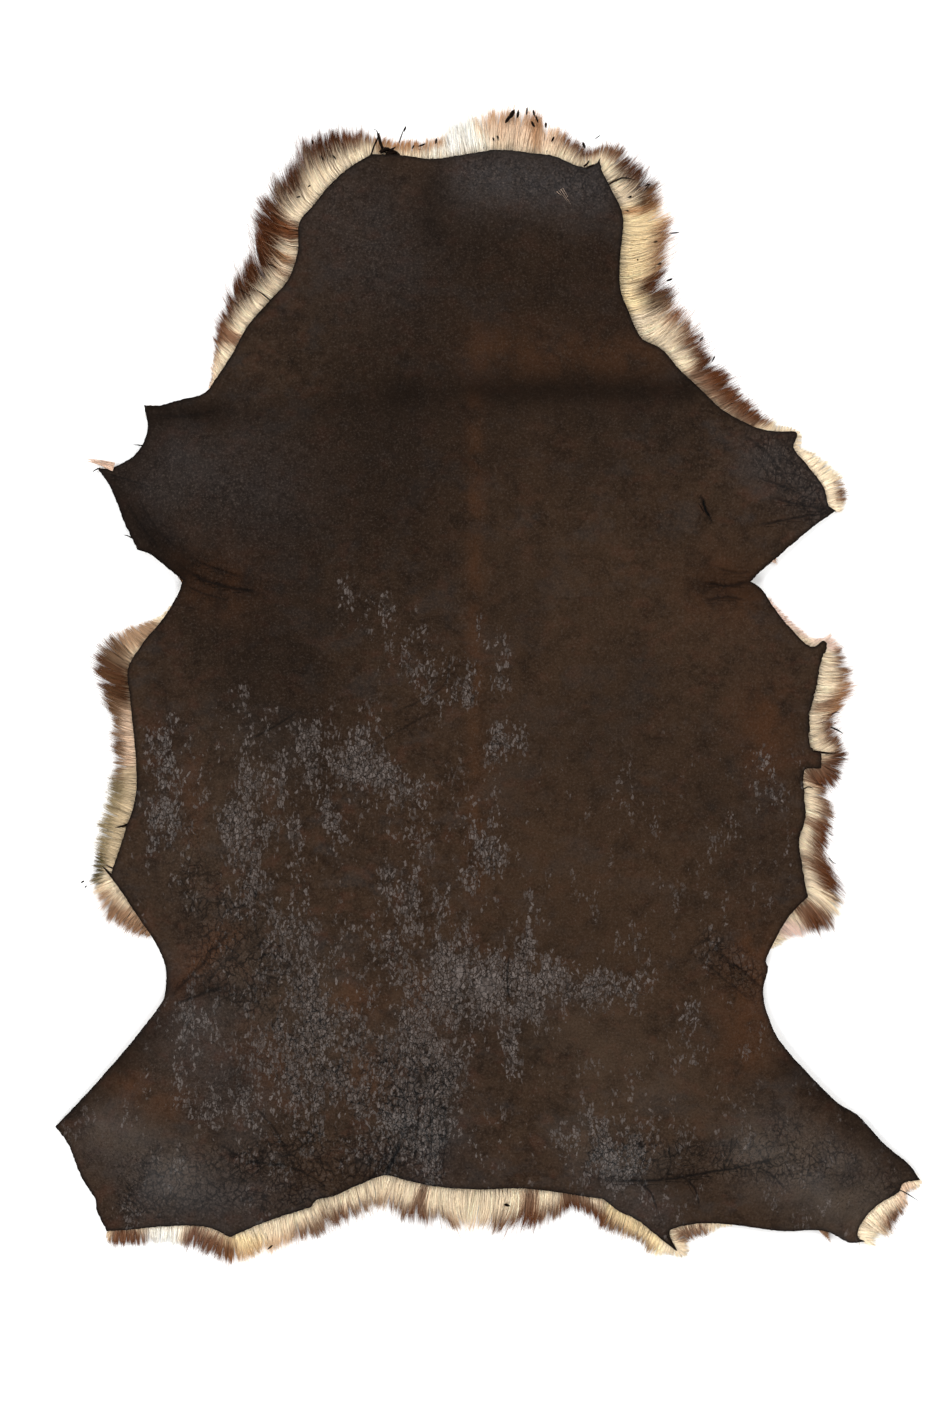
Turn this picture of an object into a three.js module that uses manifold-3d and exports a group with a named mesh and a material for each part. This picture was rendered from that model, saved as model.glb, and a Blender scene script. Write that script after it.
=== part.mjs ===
// A sheepskin laid out flat, hair side down, so that its dark leather side shows.
// X runs across the animal's back, Y from the tail to the neck, and Z up from the surface it lies on.
// It is one piece as tanned: a skin of even thickness with the fleece still rooted in it, so it is one solid.
// The fleece under the skin is a lumpy pressed slab, and at the rim its hair stands out in separate locks.
// Sizes are in millimetres.

import * as THREE from "three";
import { mergeVertices } from "three/addons/utils/BufferGeometryUtils.js";
import Module from "manifold-3d";

const wasm = await Module();
wasm.setup();

// Driving sizes
const LEATHER = 2.2; // thickness of the tanned skin
const BACK_HEIGHT = 27; // height of the skin's face above the surface, over the back
const BOW_WIDTH = 85; // how far in from the edge the hide starts to bow down to it
const COLLAR = 0.22; // share of the hair's reach that is one pressed mass before it parts into locks
const BARE_INSET = 5; // the pressed hair ends this far inside an edge with no hair showing
const COLLAR_START = 15.5; // past the skin's edge the pressed hair starts to slope down this far out
const COLLAR_DROP = 0.4; // share of its height that it loses there
const LOCK_HEIGHT = 7; // height of a lock at its root
const LUMP_DEPTH = 6; // depth of the hollows between the fleece's lumps, from below
const LUMP_SPACING = 74; // from one lump to the next
const LUMP_FLAT = 0.35; // share of the rise between two lumps that is still pressed flat
const LUMP_STEEPNESS = 2; // how steeply the fleece turns up into a hollow from there
const LUMP_DRIFT_ACROSS = 60; // run along the hide in which a row of lumps drifts across by a sixth of a lump
const LUMP_DRIFT_ALONG = 90; // run across the hide in which one drifts along by as much
const DEEPEST_HOLLOW = 0.4; // share of the pressed hair's height that a hollow takes at most
const REST_RADIUS = 70; // the fleece is pressed fully flat this far around the middle of the belly
const LOCK_PITCH = 12; // from one lock to the next along the rim
const LOCK_WIDTH = 10; // width of a lock at its root
const LOCK_ROOT = 7; // a lock starts this far inside the pressed mass
const LOCK_BEND = 0.6; // share of a lock's length at which it bends and narrows
const LOCK_FULLNESS = 0.68; // share of its width and height that is left there
const STRAY_REACH = 0.2; // how much one lock differs from the next, as a share: in its reach,
const STRAY_DRIFT = 0.24; // in its drift along the edge,
const STRAY_WIDTH = 0.3; // in its width,
const STRAY_RISE = 0.4; // and in its height
const SHORTEST_LOCK = 9; // hair shorter than this stays part of the pressed mass
const RIM_RELIEF = 0.3; // share of the folds and swells that reaches the edge
const LOWEST_FACE = 0.55; // share of its plain height that a trough leaves at least
const LEAST_HAIR = 2; // height of the hair under the skin where it is lowest
const SURFACE_STEP = 31; // spacing of the points that carry the hide's two faces
const NET_MARGIN = 0.7; // the net of those points reaches this share of a step past the hide
const CUT_HEIGHT = 108; // height of the upright walls that cut the hide's layers to their outlines
const EDGE_STEP = 17; // longest straight run along the skin's edge

// The skin's edge, clockwise as seen from above, one row for each stretch from one corner to the next.
// points: the stretch's corner and the points that it curves through, up to the next row's corner.
// height: of the skin's face along the stretch. hair: how far the hair reaches past the edge there.
// drift: how far the tips drift along the edge, clockwise, as a share of that reach.
const EDGE = [
  {
    place: "neck top",
    points: [
      [-116, 530], [-89, 529], [-56, 525], [-13, 531], [12, 534], [42, 531], [68, 527], [89, 518], [102, 517],
    ],
    height: [15, 17, 15],
    hair: [24, 15, 24, 36, 42, 45, 34, 22, 16],
    drift: 0.05,
  },
  {
    place: "neck tab",
    points: [[112, 522]],
    height: [12],
    hair: [20],
    drift: -0.1,
  },
  {
    place: "right side of the neck",
    points: [
      [113, 515], [123, 495], [133, 474], [135, 462], [132, 429], [132, 396], [142, 368], [154, 345],
      [173, 335], [191, 315], [210, 297], [235, 274], [267, 257], [284, 253],
    ],
    height: [15, 17, 17, 15, 13],
    hair: [34, 45, 49, 49, 49, 50, 52, 50, 38, 31, 28, 16, 5, 0],
    drift: -0.22,
  },
  {
    place: "right foreleg, outer edge",
    points: [[308, 253], [310, 249], [306, 238], [321, 218], [337, 196], [342, 178]],
    height: [9, 6],
    hair: [4, 8, 16, 21, 20, 12],
    drift: 0,
  },
  {
    place: "right foreleg, rear edge",
    points: [[349, 174], [330, 161], [309, 144], [287, 125], [275, 115]],
    height: [5, 9, 13],
    hair: [0],
    drift: 0,
  },
  {
    place: "right armpit",
    points: [[263, 103], [273, 96], [286, 76], [303, 55], [324, 37]],
    height: [12, 14, 14],
    hair: [0, 3, 8, 13, 18],
    drift: -0.1,
  },
  {
    place: "right flank, front",
    points: [[336, 44], [339, 39], [334, 27], [329, 1], [321, -36], [325, -66], [332, -69]],
    height: [14, 15, 15],
    hair: [20, 32, 41, 33, 27, 30, 26],
    drift: -0.05,
  },
  {
    place: "right flank, rear",
    points: [[333, -84], [317, -86], [316, -111], [317, -134], [311, -156], [315, -188]],
    height: [14, 15, 14],
    hair: [24, 27, 30, 31, 33, 36],
    drift: 0.35,
  },
  {
    place: "right flank, drawn in",
    points: [[320, -213], [309, -223], [297, -238]],
    height: [14, 13],
    hair: [36, 30, 17, 0],
    drift: 0.2,
  },
  {
    place: "right hind leg, front edge",
    points: [
      [282, -266], [278, -277], [280, -284], [275, -309], [286, -347], [297, -364], [322, -392], [352, -421],
      [369, -431], [397, -461], [422, -482],
    ],
    height: [12, 13, 10, 6],
    hair: [0],
    drift: 0,
  },
  {
    place: "right hind foot",
    points: [[433, -497], [416, -501], [412, -509], [390, -523], [373, -543], [371, -554]],
    height: [5, 7],
    hair: [8, 13, 24, 31, 30, 12],
    drift: 0.1,
  },
  {
    place: "right hind leg, rear edge",
    points: [
      [378, -559], [363, -560], [338, -548], [295, -548], [252, -542], [230, -540], [212, -540], [194, -543],
      [182, -548],
    ],
    height: [6, 10, 12, 9],
    hair: [0, 0, 0, 0, 0, 6, 15, 19, 17],
    drift: -0.1,
  },
  {
    place: "right of the tail",
    points: [[189, -568], [176, -558], [152, -538], [131, -527]],
    height: [6, 12, 15],
    hair: [10, 20, 24, 26],
    drift: -0.1,
  },
  {
    place: "tail",
    points: [
      [115, -515], [77, -509], [34, -504], [-8, -505], [-53, -502], [-85, -495], [-102, -491], [-128, -500],
      [-155, -512], [-172, -516],
    ],
    height: [16, 17, 16],
    hair: [28, 18, 42, 46, 43, 44, 42, 31, 31, 36],
    drift: 0,
  },
  {
    place: "left of the tail",
    points: [[-177, -523], [-208, -533], [-230, -541]],
    height: [14, 12],
    hair: [35, 31, 31, 28],
    drift: 0.1,
  },
  {
    place: "left hind leg, rear edge",
    points: [[-259, -554], [-281, -544], [-323, -543], [-366, -547]],
    height: [8, 10, 8],
    hair: [28, 29, 15, 18, 10],
    drift: 0.1,
  },
  {
    place: "left hind foot",
    points: [[-382, -548], [-392, -528], [-393, -519], [-409, -491], [-421, -461]],
    height: [5],
    hair: [0],
    drift: 0,
  },
  {
    place: "left hind leg, front edge",
    points: [
      [-434, -444], [-408, -417], [-367, -371], [-335, -331], [-325, -316], [-322, -300], [-323, -282],
      [-328, -268],
    ],
    height: [5, 9, 12, 12],
    hair: [0],
    drift: 0,
  },
  {
    place: "left flank, drawn in",
    points: [[-337, -252], [-358, -221], [-367, -207]],
    height: [13, 14],
    hair: [0, 20, 30, 22],
    drift: -0.2,
  },
  {
    place: "left flank",
    points: [
      [-378, -192], [-368, -164], [-362, -145], [-352, -111], [-352, -76], [-358, -13], [-360, 15],
      [-345, 41], [-323, 68], [-309, 93],
    ],
    height: [13, 15, 15, 12],
    hair: [20, 27, 29, 26, 23, 31, 34, 26, 6, 0],
    drift: -0.15,
  },
  {
    place: "left foreleg, rear edge",
    points: [[-305, 104], [-319, 115], [-338, 130]],
    height: [12, 9],
    hair: [4, 0],
    drift: 0,
  },
  {
    place: "left foreleg, outer edge",
    points: [[-351, 135], [-363, 159], [-375, 190], [-381, 202]],
    height: [8, 5],
    hair: [0],
    drift: 0,
  },
  {
    place: "left forefoot",
    points: [[-392, 217], [-381, 216], [-366, 222], [-350, 234], [-341, 257]],
    height: [5, 8],
    hair: [0],
    drift: 0,
  },
  {
    place: "left shoulder",
    points: [[-345, 280], [-332, 279], [-306, 285], [-283, 292]],
    height: [8, 12],
    hair: [0, 0, 0, 4],
    drift: 0.3,
  },
  {
    place: "left side of the neck",
    points: [
      [-271, 307], [-254, 333], [-241, 357], [-218, 383], [-200, 404], [-190, 432], [-188, 462], [-176, 477],
      [-157, 500], [-138, 517],
    ],
    height: [13, 16, 17, 15],
    hair: [14, 26, 34, 46, 50, 52, 48, 49, 48, 46, 36],
    drift: 0.22,
  },
];

// The hide's main folds, one row each: soft ridges (rise above 0) and troughs (below 0) from one end to the
// other, with the distance from the fold's middle at which it has mostly died away.
const FOLDS = [
  { place: "trough across the shoulders", from: [-190, 282], to: [150, 286], rise: -4, spread: 26 },
  { place: "end of that trough", from: [60, 292], to: [215, 292], rise: -3, spread: 20 },
  { place: "left armpit crease", from: [-300, 112], to: [-225, 92], rise: -7, spread: 16 },
  { place: "roll above it", from: [-320, 150], to: [-245, 125], rise: 4, spread: 22 },
  { place: "right armpit crease", from: [212, 90], to: [262, 102], rise: -7, spread: 16 },
  { place: "roll above that", from: [225, 125], to: [275, 135], rise: 4, spread: 20 },
  { place: "left flank ridge", from: [-245, -240], to: [-318, -306], rise: 7, spread: 17 },
  { place: "hollow under it", from: [-262, -290], to: [-318, -330], rise: -4, spread: 20 },
  { place: "right flank ridge", from: [222, -262], to: [272, -300], rise: 6, spread: 17 },
  { place: "crease beside it", from: [205, -300], to: [268, -330], rise: -4, spread: 18 },
  { place: "crease across the right rump", from: [110, -496], to: [300, -472], rise: -4, spread: 18 },
  { place: "roll above that crease", from: [130, -466], to: [290, -440], rise: 3, spread: 22 },
  { place: "fold in at the tail", from: [-90, -455], to: [-104, -492], rise: -5, spread: 14 },
  { place: "left hind leg crease", from: [-245, -440], to: [-190, -485], rise: -4, spread: 18 },
  { place: "left shoulder crease", from: [-325, 268], to: [-270, 270], rise: -3, spread: 16 },
  { place: "right foreleg ridge", from: [262, 240], to: [318, 190], rise: 3, spread: 16 },
];

// The wide, low swells of a skin that never lies fully flat: wave lengths across and along, and their rise.
const SWELLS = [
  { across: 410, along: 520, shift: 0.7, rise: 1.7 },
  { across: -230, along: 310, shift: 2.1, rise: 1.1 },
  { across: 150, along: -190, shift: 4.4, rise: 0.6 },
];

const clamp01 = (value) => Math.min(1, Math.max(0, value));
const ease = (value) => clamp01(value) ** 2 * (3 - 2 * clamp01(value));

// A repeatable stray value from 0 to 1 for the given item and use.
function stray(item, use) {
  const wave = Math.sin(item * 12.9898 + use * 78.233) * 43758.5453;
  return wave - Math.floor(wave);
}

// The value at a share of the way along a row's list, whose entries are evenly spread from 0 to 1.
function along(list, share) {
  const place = clamp01(share) * (list.length - 1);
  const before = Math.floor(place);
  const after = Math.min(before + 1, list.length - 1);
  return THREE.MathUtils.lerp(list[before], list[after], place - before);
}

// The skin's edge as samples about EDGE_STEP apart, each with its outward direction and its row's values.
function edgeSamples() {
  const samples = EDGE.flatMap((row, index) => {
    const next = EDGE[(index + 1) % EDGE.length].points[0];
    const path = [...row.points, next].map(([x, y]) => new THREE.Vector3(x, y, 0));
    const curve = new THREE.CatmullRomCurve3(path, false, "centripetal");
    const count = Math.max(1, Math.round(curve.getLength() / EDGE_STEP));
    return curve.getSpacedPoints(count).slice(0, -1).map((point, step) => ({
      x: point.x,
      y: point.y,
      height: along(row.height, step / count),
      hair: along(row.hair, step / count),
      drift: row.drift,
    }));
  });
  samples.forEach((sample, index) => {
    const before = samples.at(index - 1);
    const after = samples[(index + 1) % samples.length];
    const run = new THREE.Vector2(after.x - before.x, after.y - before.y).normalize();
    sample.run = run;
    sample.out = new THREE.Vector2(-run.y, run.x);
  });
  return samples;
}

const edge = edgeSamples();
const skinOutline = edge.map(({ x, y }) => new THREE.Vector2(x, y));

// The pressed mass of hair ends a little outside the edge where hair shows, and inside it elsewhere.
const pressedOutline = edge.map(({ x, y, hair, out }) => {
  const past = hair > SHORTEST_LOCK ? hair * COLLAR : -BARE_INSET * (1 - hair / SHORTEST_LOCK);
  return new THREE.Vector2(x + out.x * past, y + out.y * past);
});

// How far a point lies inside the skin's edge (below 0 outside it), with the nearest sample's values.
function fromEdge(x, y) {
  let best = { distance: Infinity };
  edge.forEach((sample, index) => {
    const next = edge[(index + 1) % edge.length];
    const [sideX, sideY] = [next.x - sample.x, next.y - sample.y];
    const [reachX, reachY] = [x - sample.x, y - sample.y];
    const share = clamp01((reachX * sideX + reachY * sideY) / (sideX ** 2 + sideY ** 2));
    const distance = Math.hypot(reachX - sideX * share, reachY - sideY * share);
    if (distance < best.distance) {
      best = {
        distance,
        height: THREE.MathUtils.lerp(sample.height, next.height, share),
        hair: THREE.MathUtils.lerp(sample.hair, next.hair, share),
      };
    }
  });
  return { ...best, distance: isInside(x, y) ? best.distance : -best.distance };
}

function isInside(x, y) {
  let inside = false;
  skinOutline.forEach((a, index) => {
    const b = skinOutline[(index + 1) % skinOutline.length];
    if (a.y > y !== b.y > y && x < a.x + ((y - a.y) / (b.y - a.y)) * (b.x - a.x)) {
      inside = !inside;
    }
  });
  return inside;
}

// The rise that one fold gives at a point: full along its middle, dying away sideways and past its ends.
function foldRise({ from, to, rise, spread }, x, y) {
  const start = new THREE.Vector2(...from);
  const run = new THREE.Vector2(...to).sub(start);
  const share = clamp01(new THREE.Vector2(x, y).sub(start).dot(run) / run.lengthSq());
  const distance = Math.hypot(x - start.x - run.x * share, y - start.y - run.y * share);
  return rise * Math.exp(-((distance / spread) ** 2));
}

function swellRise({ across, along: length, shift, rise }, x, y) {
  return rise * Math.sin(2 * Math.PI * (x / across + y / length) + shift);
}

// Height of the skin's face. Past the edge it carries on level, so that the edge itself is cut square.
function skinFace(x, y, rim) {
  const lift = ease(rim.distance / BOW_WIDTH);
  const level = THREE.MathUtils.lerp(rim.height, BACK_HEIGHT, lift);
  const swells = SWELLS.reduce((sum, swell) => sum + swellRise(swell, x, y), 0);
  const folds = FOLDS.reduce((sum, fold) => sum + foldRise(fold, x, y), 0);
  const relief = (swells + folds) * THREE.MathUtils.lerp(RIM_RELIEF, 1, lift);
  return Math.max(level * LOWEST_FACE, LEATHER + LEAST_HAIR, level + relief);
}

// Height of the pressed hair: half way into the leather, and sloping down well outside the skin's edge.
function fleeceFace(x, y, rim) {
  const drop = COLLAR_DROP * ease((-rim.distance - COLLAR_START) / SURFACE_STEP);
  return (skinFace(x, y, rim) - LEATHER / 2) * (1 - drop);
}

// Height of the fleece's underside: flat on the surface under each lump, hollow between the lumps.
function fleeceUnderside(x, y, rim) {
  const turn = (2 * Math.PI) / LUMP_SPACING;
  const across = Math.sin(x * turn + y / LUMP_DRIFT_ACROSS);
  const length = Math.sin(y * turn - x / LUMP_DRIFT_ALONG);
  const hollow = LUMP_DEPTH * clamp01((across * length - LUMP_FLAT) * LUMP_STEEPNESS);
  const pressed = Math.hypot(x, y) < REST_RADIUS || rim.distance < SURFACE_STEP;
  return pressed ? 0 : Math.min(hollow, fleeceFace(x, y, rim) * DEEPEST_HOLLOW);
}

// Turns a closed geometry into a solid that can be joined and cut.
function toSolid(geometry) {
  const bare = geometry.clone();
  bare.deleteAttribute("normal");
  bare.deleteAttribute("uv");
  const merged = mergeVertices(bare);
  return new wasm.Manifold(
    new wasm.Mesh({
      numProp: 3,
      vertProperties: Float32Array.from(merged.attributes.position.array),
      triVerts: Uint32Array.from(merged.index.array),
    }),
  );
}

function meshSolid(points, triangles) {
  const geometry = new THREE.BufferGeometry();
  geometry.setAttribute("position", new THREE.Float32BufferAttribute(points.flat(), 3));
  geometry.setIndex(triangles.flat());
  return toSolid(geometry);
}

// An upright wall of the given outline, tall enough to cut any layer of the hide.
function prism(outline) {
  const shape = new THREE.Shape(outline);
  const geometry = new THREE.ExtrudeGeometry(shape, { depth: CUT_HEIGHT, bevelEnabled: false });
  return toSolid(geometry.translate(0, 0, -CUT_HEIGHT / 2));
}

// The points of the square net that carries both faces of the hide, with what fromEdge says of each.
function surfaceNet() {
  const box = new THREE.Box2().setFromPoints([...skinOutline, ...pressedOutline]);
  box.expandByScalar(SURFACE_STEP * NET_MARGIN);
  const columns = Math.ceil((box.max.x - box.min.x) / SURFACE_STEP);
  const rows = Math.ceil((box.max.y - box.min.y) / SURFACE_STEP);
  const points = [];
  for (let row = 0; row <= rows; row += 1) {
    for (let column = 0; column <= columns; column += 1) {
      const x = box.min.x + column * SURFACE_STEP;
      const y = box.min.y + row * SURFACE_STEP;
      points.push({ x, y, rim: fromEdge(x, y) });
    }
  }
  return { columns, rows, points };
}

// A layer between two heights over the whole net, its cells split along alternate diagonals.
function layer(net, lower, upper) {
  const heights = (level) => net.points.map(({ x, y, rim }) => [x, y, level(x, y, rim)]);
  const top = net.points.length;
  const across = net.columns + 1;
  const triangles = [];
  for (let row = 0; row < net.rows; row += 1) {
    for (let column = 0; column < net.columns; column += 1) {
      const a = row * across + column;
      const [b, c, d] = [a + 1, a + 1 + across, a + across];
      const halves = (row + column) % 2 ? [[a, b, c], [a, c, d]] : [[a, b, d], [b, c, d]];
      halves.forEach(([i, j, k]) => triangles.push([i + top, j + top, k + top], [k, j, i]));
    }
  }
  const wall = (i, j) => triangles.push([i, j, j + top], [i, j + top, i + top]);
  for (let column = 0; column < net.columns; column += 1) {
    wall(column, column + 1);
    wall(net.rows * across + column + 1, net.rows * across + column);
  }
  for (let row = 0; row < net.rows; row += 1) {
    wall((row + 1) * across, row * across);
    wall(row * across + net.columns, (row + 1) * across + net.columns);
  }
  return meshSolid([...heights(lower), ...heights(upper)], triangles);
}

// One lock of hair: three-sided, its flat side down on the surface, tapering to its tip along a soft bend.
function lock(sample, item) {
  const differing = (spread, use) => spread * (stray(item, use) - 0.5);
  const reach = sample.hair * (1 + differing(STRAY_REACH, 1));
  const drift = reach * (sample.drift + differing(STRAY_DRIFT, 2));
  const width = LOCK_WIDTH * (1 + differing(STRAY_WIDTH, 3));
  const rootHeight = Math.min(LOCK_HEIGHT * (1 + differing(STRAY_RISE, 4)), sample.height - LEATHER);
  const centreAt = (share) =>
    new THREE.Vector2(sample.x, sample.y)
      .addScaledVector(sample.out, THREE.MathUtils.lerp(sample.hair * COLLAR - LOCK_ROOT, reach, share))
      .addScaledVector(sample.run, drift * share ** 2);
  const ring = (share, fullness) => {
    const centre = centreAt(share);
    const half = (width * fullness) / 2;
    return [
      [centre.x - sample.run.x * half, centre.y - sample.run.y * half, 0],
      [centre.x + sample.run.x * half, centre.y + sample.run.y * half, 0],
      [centre.x, centre.y, rootHeight * fullness],
    ];
  };
  const tip = centreAt(1);
  const points = [...ring(0, 1), ...ring(LOCK_BEND, LOCK_FULLNESS), [tip.x, tip.y, 0]];
  const last = points.length - 1;
  const triangles = [[0, 1, 2]];
  for (let side = 0; side < 3; side += 1) {
    const next = (side + 1) % 3;
    triangles.push([side, side + 3, next + 3], [side, next + 3, next], [side + 3, last, next + 3]);
  }
  return meshSolid(points, triangles);
}

// The places of the locks: evenly spaced along the edge wherever the hair is long enough to part.
function lockPlaces() {
  const places = [];
  let waiting = 0;
  edge.forEach((sample, index) => {
    const next = edge[(index + 1) % edge.length];
    const length = Math.hypot(next.x - sample.x, next.y - sample.y);
    for (; waiting < length; waiting += LOCK_PITCH) {
      const share = waiting / length;
      const mix = (name) => THREE.MathUtils.lerp(sample[name], next[name], share);
      places.push({
        x: mix("x"),
        y: mix("y"),
        height: mix("height"),
        hair: mix("hair"),
        drift: sample.drift,
        run: sample.run.clone().lerp(next.run, share).normalize(),
        out: sample.out.clone().lerp(next.out, share).normalize(),
      });
    }
    waiting -= length;
  });
  return places.filter((place) => place.hair >= SHORTEST_LOCK);
}

function hideSolid() {
  const net = surfaceNet();
  const hairSide = (x, y, rim) => skinFace(x, y, rim) - LEATHER;
  const leather = layer(net, hairSide, skinFace).intersect(prism(skinOutline));
  const fleece = layer(net, fleeceUnderside, fleeceFace).intersect(prism(pressedOutline));
  return lockPlaces().reduce((whole, place, item) => whole.add(lock(place, item)), leather.add(fleece));
}

function toGeometry(solid) {
  const { vertProperties, triVerts } = solid.getMesh();
  const geometry = new THREE.BufferGeometry();
  geometry.setAttribute("position", new THREE.Float32BufferAttribute(vertProperties, 3));
  geometry.setIndex(Array.from(triVerts));
  geometry.computeVertexNormals();
  return geometry;
}

const darkLeather = new THREE.MeshStandardMaterial({ color: 0x33291f, roughness: 0.6, metalness: 0 });

const hide = new THREE.Mesh(toGeometry(hideSolid()), darkLeather);
hide.name = "hide";

// The origin is the middle of the whole outline, on the surface.
const sheepskin = new THREE.Group();
sheepskin.add(hide);
const middle = new THREE.Box3().setFromObject(sheepskin).getCenter(new THREE.Vector3());
sheepskin.position.set(-middle.x, -middle.y, 0);

export default sheepskin;
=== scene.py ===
import math

import bpy
import numpy as np
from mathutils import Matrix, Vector
from mathutils.geometry import delaunay_2d_cdt
from mathutils.kdtree import KDTree


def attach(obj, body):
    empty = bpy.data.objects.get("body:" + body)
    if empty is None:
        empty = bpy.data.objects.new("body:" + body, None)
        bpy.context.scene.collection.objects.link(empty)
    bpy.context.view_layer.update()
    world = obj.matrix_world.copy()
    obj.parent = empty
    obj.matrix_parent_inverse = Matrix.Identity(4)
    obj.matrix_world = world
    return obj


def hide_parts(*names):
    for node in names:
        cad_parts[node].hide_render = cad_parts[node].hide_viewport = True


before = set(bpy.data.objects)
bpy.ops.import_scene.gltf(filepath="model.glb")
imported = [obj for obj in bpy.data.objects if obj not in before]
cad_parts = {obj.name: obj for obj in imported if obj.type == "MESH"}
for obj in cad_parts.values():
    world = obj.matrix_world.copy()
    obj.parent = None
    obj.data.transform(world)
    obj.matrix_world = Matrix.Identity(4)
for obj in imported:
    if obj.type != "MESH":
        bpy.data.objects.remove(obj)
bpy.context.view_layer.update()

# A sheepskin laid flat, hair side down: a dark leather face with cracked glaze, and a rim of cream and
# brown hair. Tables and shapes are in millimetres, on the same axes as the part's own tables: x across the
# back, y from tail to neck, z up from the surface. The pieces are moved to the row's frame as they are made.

METRE = 0.001  # metres in a millimetre

# Driving sizes of the hide, as in the part
LEATHER = 2.2
BACK_HEIGHT = 27
BOW_WIDTH = 85  # how far in from the edge the face bows down to it
LEFT_HIND_TIP = (-434, -444)  # the edge's leftmost corner, which gives the shift to the row's frame

# How finely the pieces are made
EDGE_STEP = 2.2
FACE_STEP = 3.05
BACKING_STEP = 9
FLEECE_STEP = 11
FLEECE_MARGIN = 5
FIELD_STEP = 5
FIELD_MARGIN = 60
FIELD_BLUR = 2

# The hair
HAIR_PER_MM = 12.4
HAIR_RADIUS = 0.38
TIP_SHARE = 0.48  # of a hair's radius, at its tip
HAIR_STEPS = np.array([0, 0.3, 0.57, 0.8, 1])  # a hair's rings, as shares of its length
HAIR_INSET = 9  # how far in under the edge the hair may start
LEAST_REACH = 3  # a stretch with less hair past the edge has no rim hair
TUFT_SPACING = 4.2
LOCK_SPACING = 16
STRAY_SHARE = 0.18  # of all hairs that leave their tuft
DARK_SHARE = 0.05  # of all hairs that are darker than the rest
SHORT_HAIR_REACH = 12  # a stretch with less hair than this has short hair under it
SHORT_HAIR_PER_MM = 1.2
SHORT_HAIR_RADIUS = 1.1

# The pressed fleece under the skin
FLEECE_REACH = 0.42  # as a share of the hair's reach past the edge
BARE_REACH = 6  # with less hair than this the fleece stops short of the edge
FLEECE_INSET = 5  # by this much, where there is none
FLEECE_GAP = 0.5  # below the skin
FLEECE_CURL = 11.8  # between its hollows
FLEECE_RIM = 0.8


def table(columns, rows):
    """A table's rows, each as a dict of its named columns."""
    return [dict(zip(columns.split(), row)) for row in rows]


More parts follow.
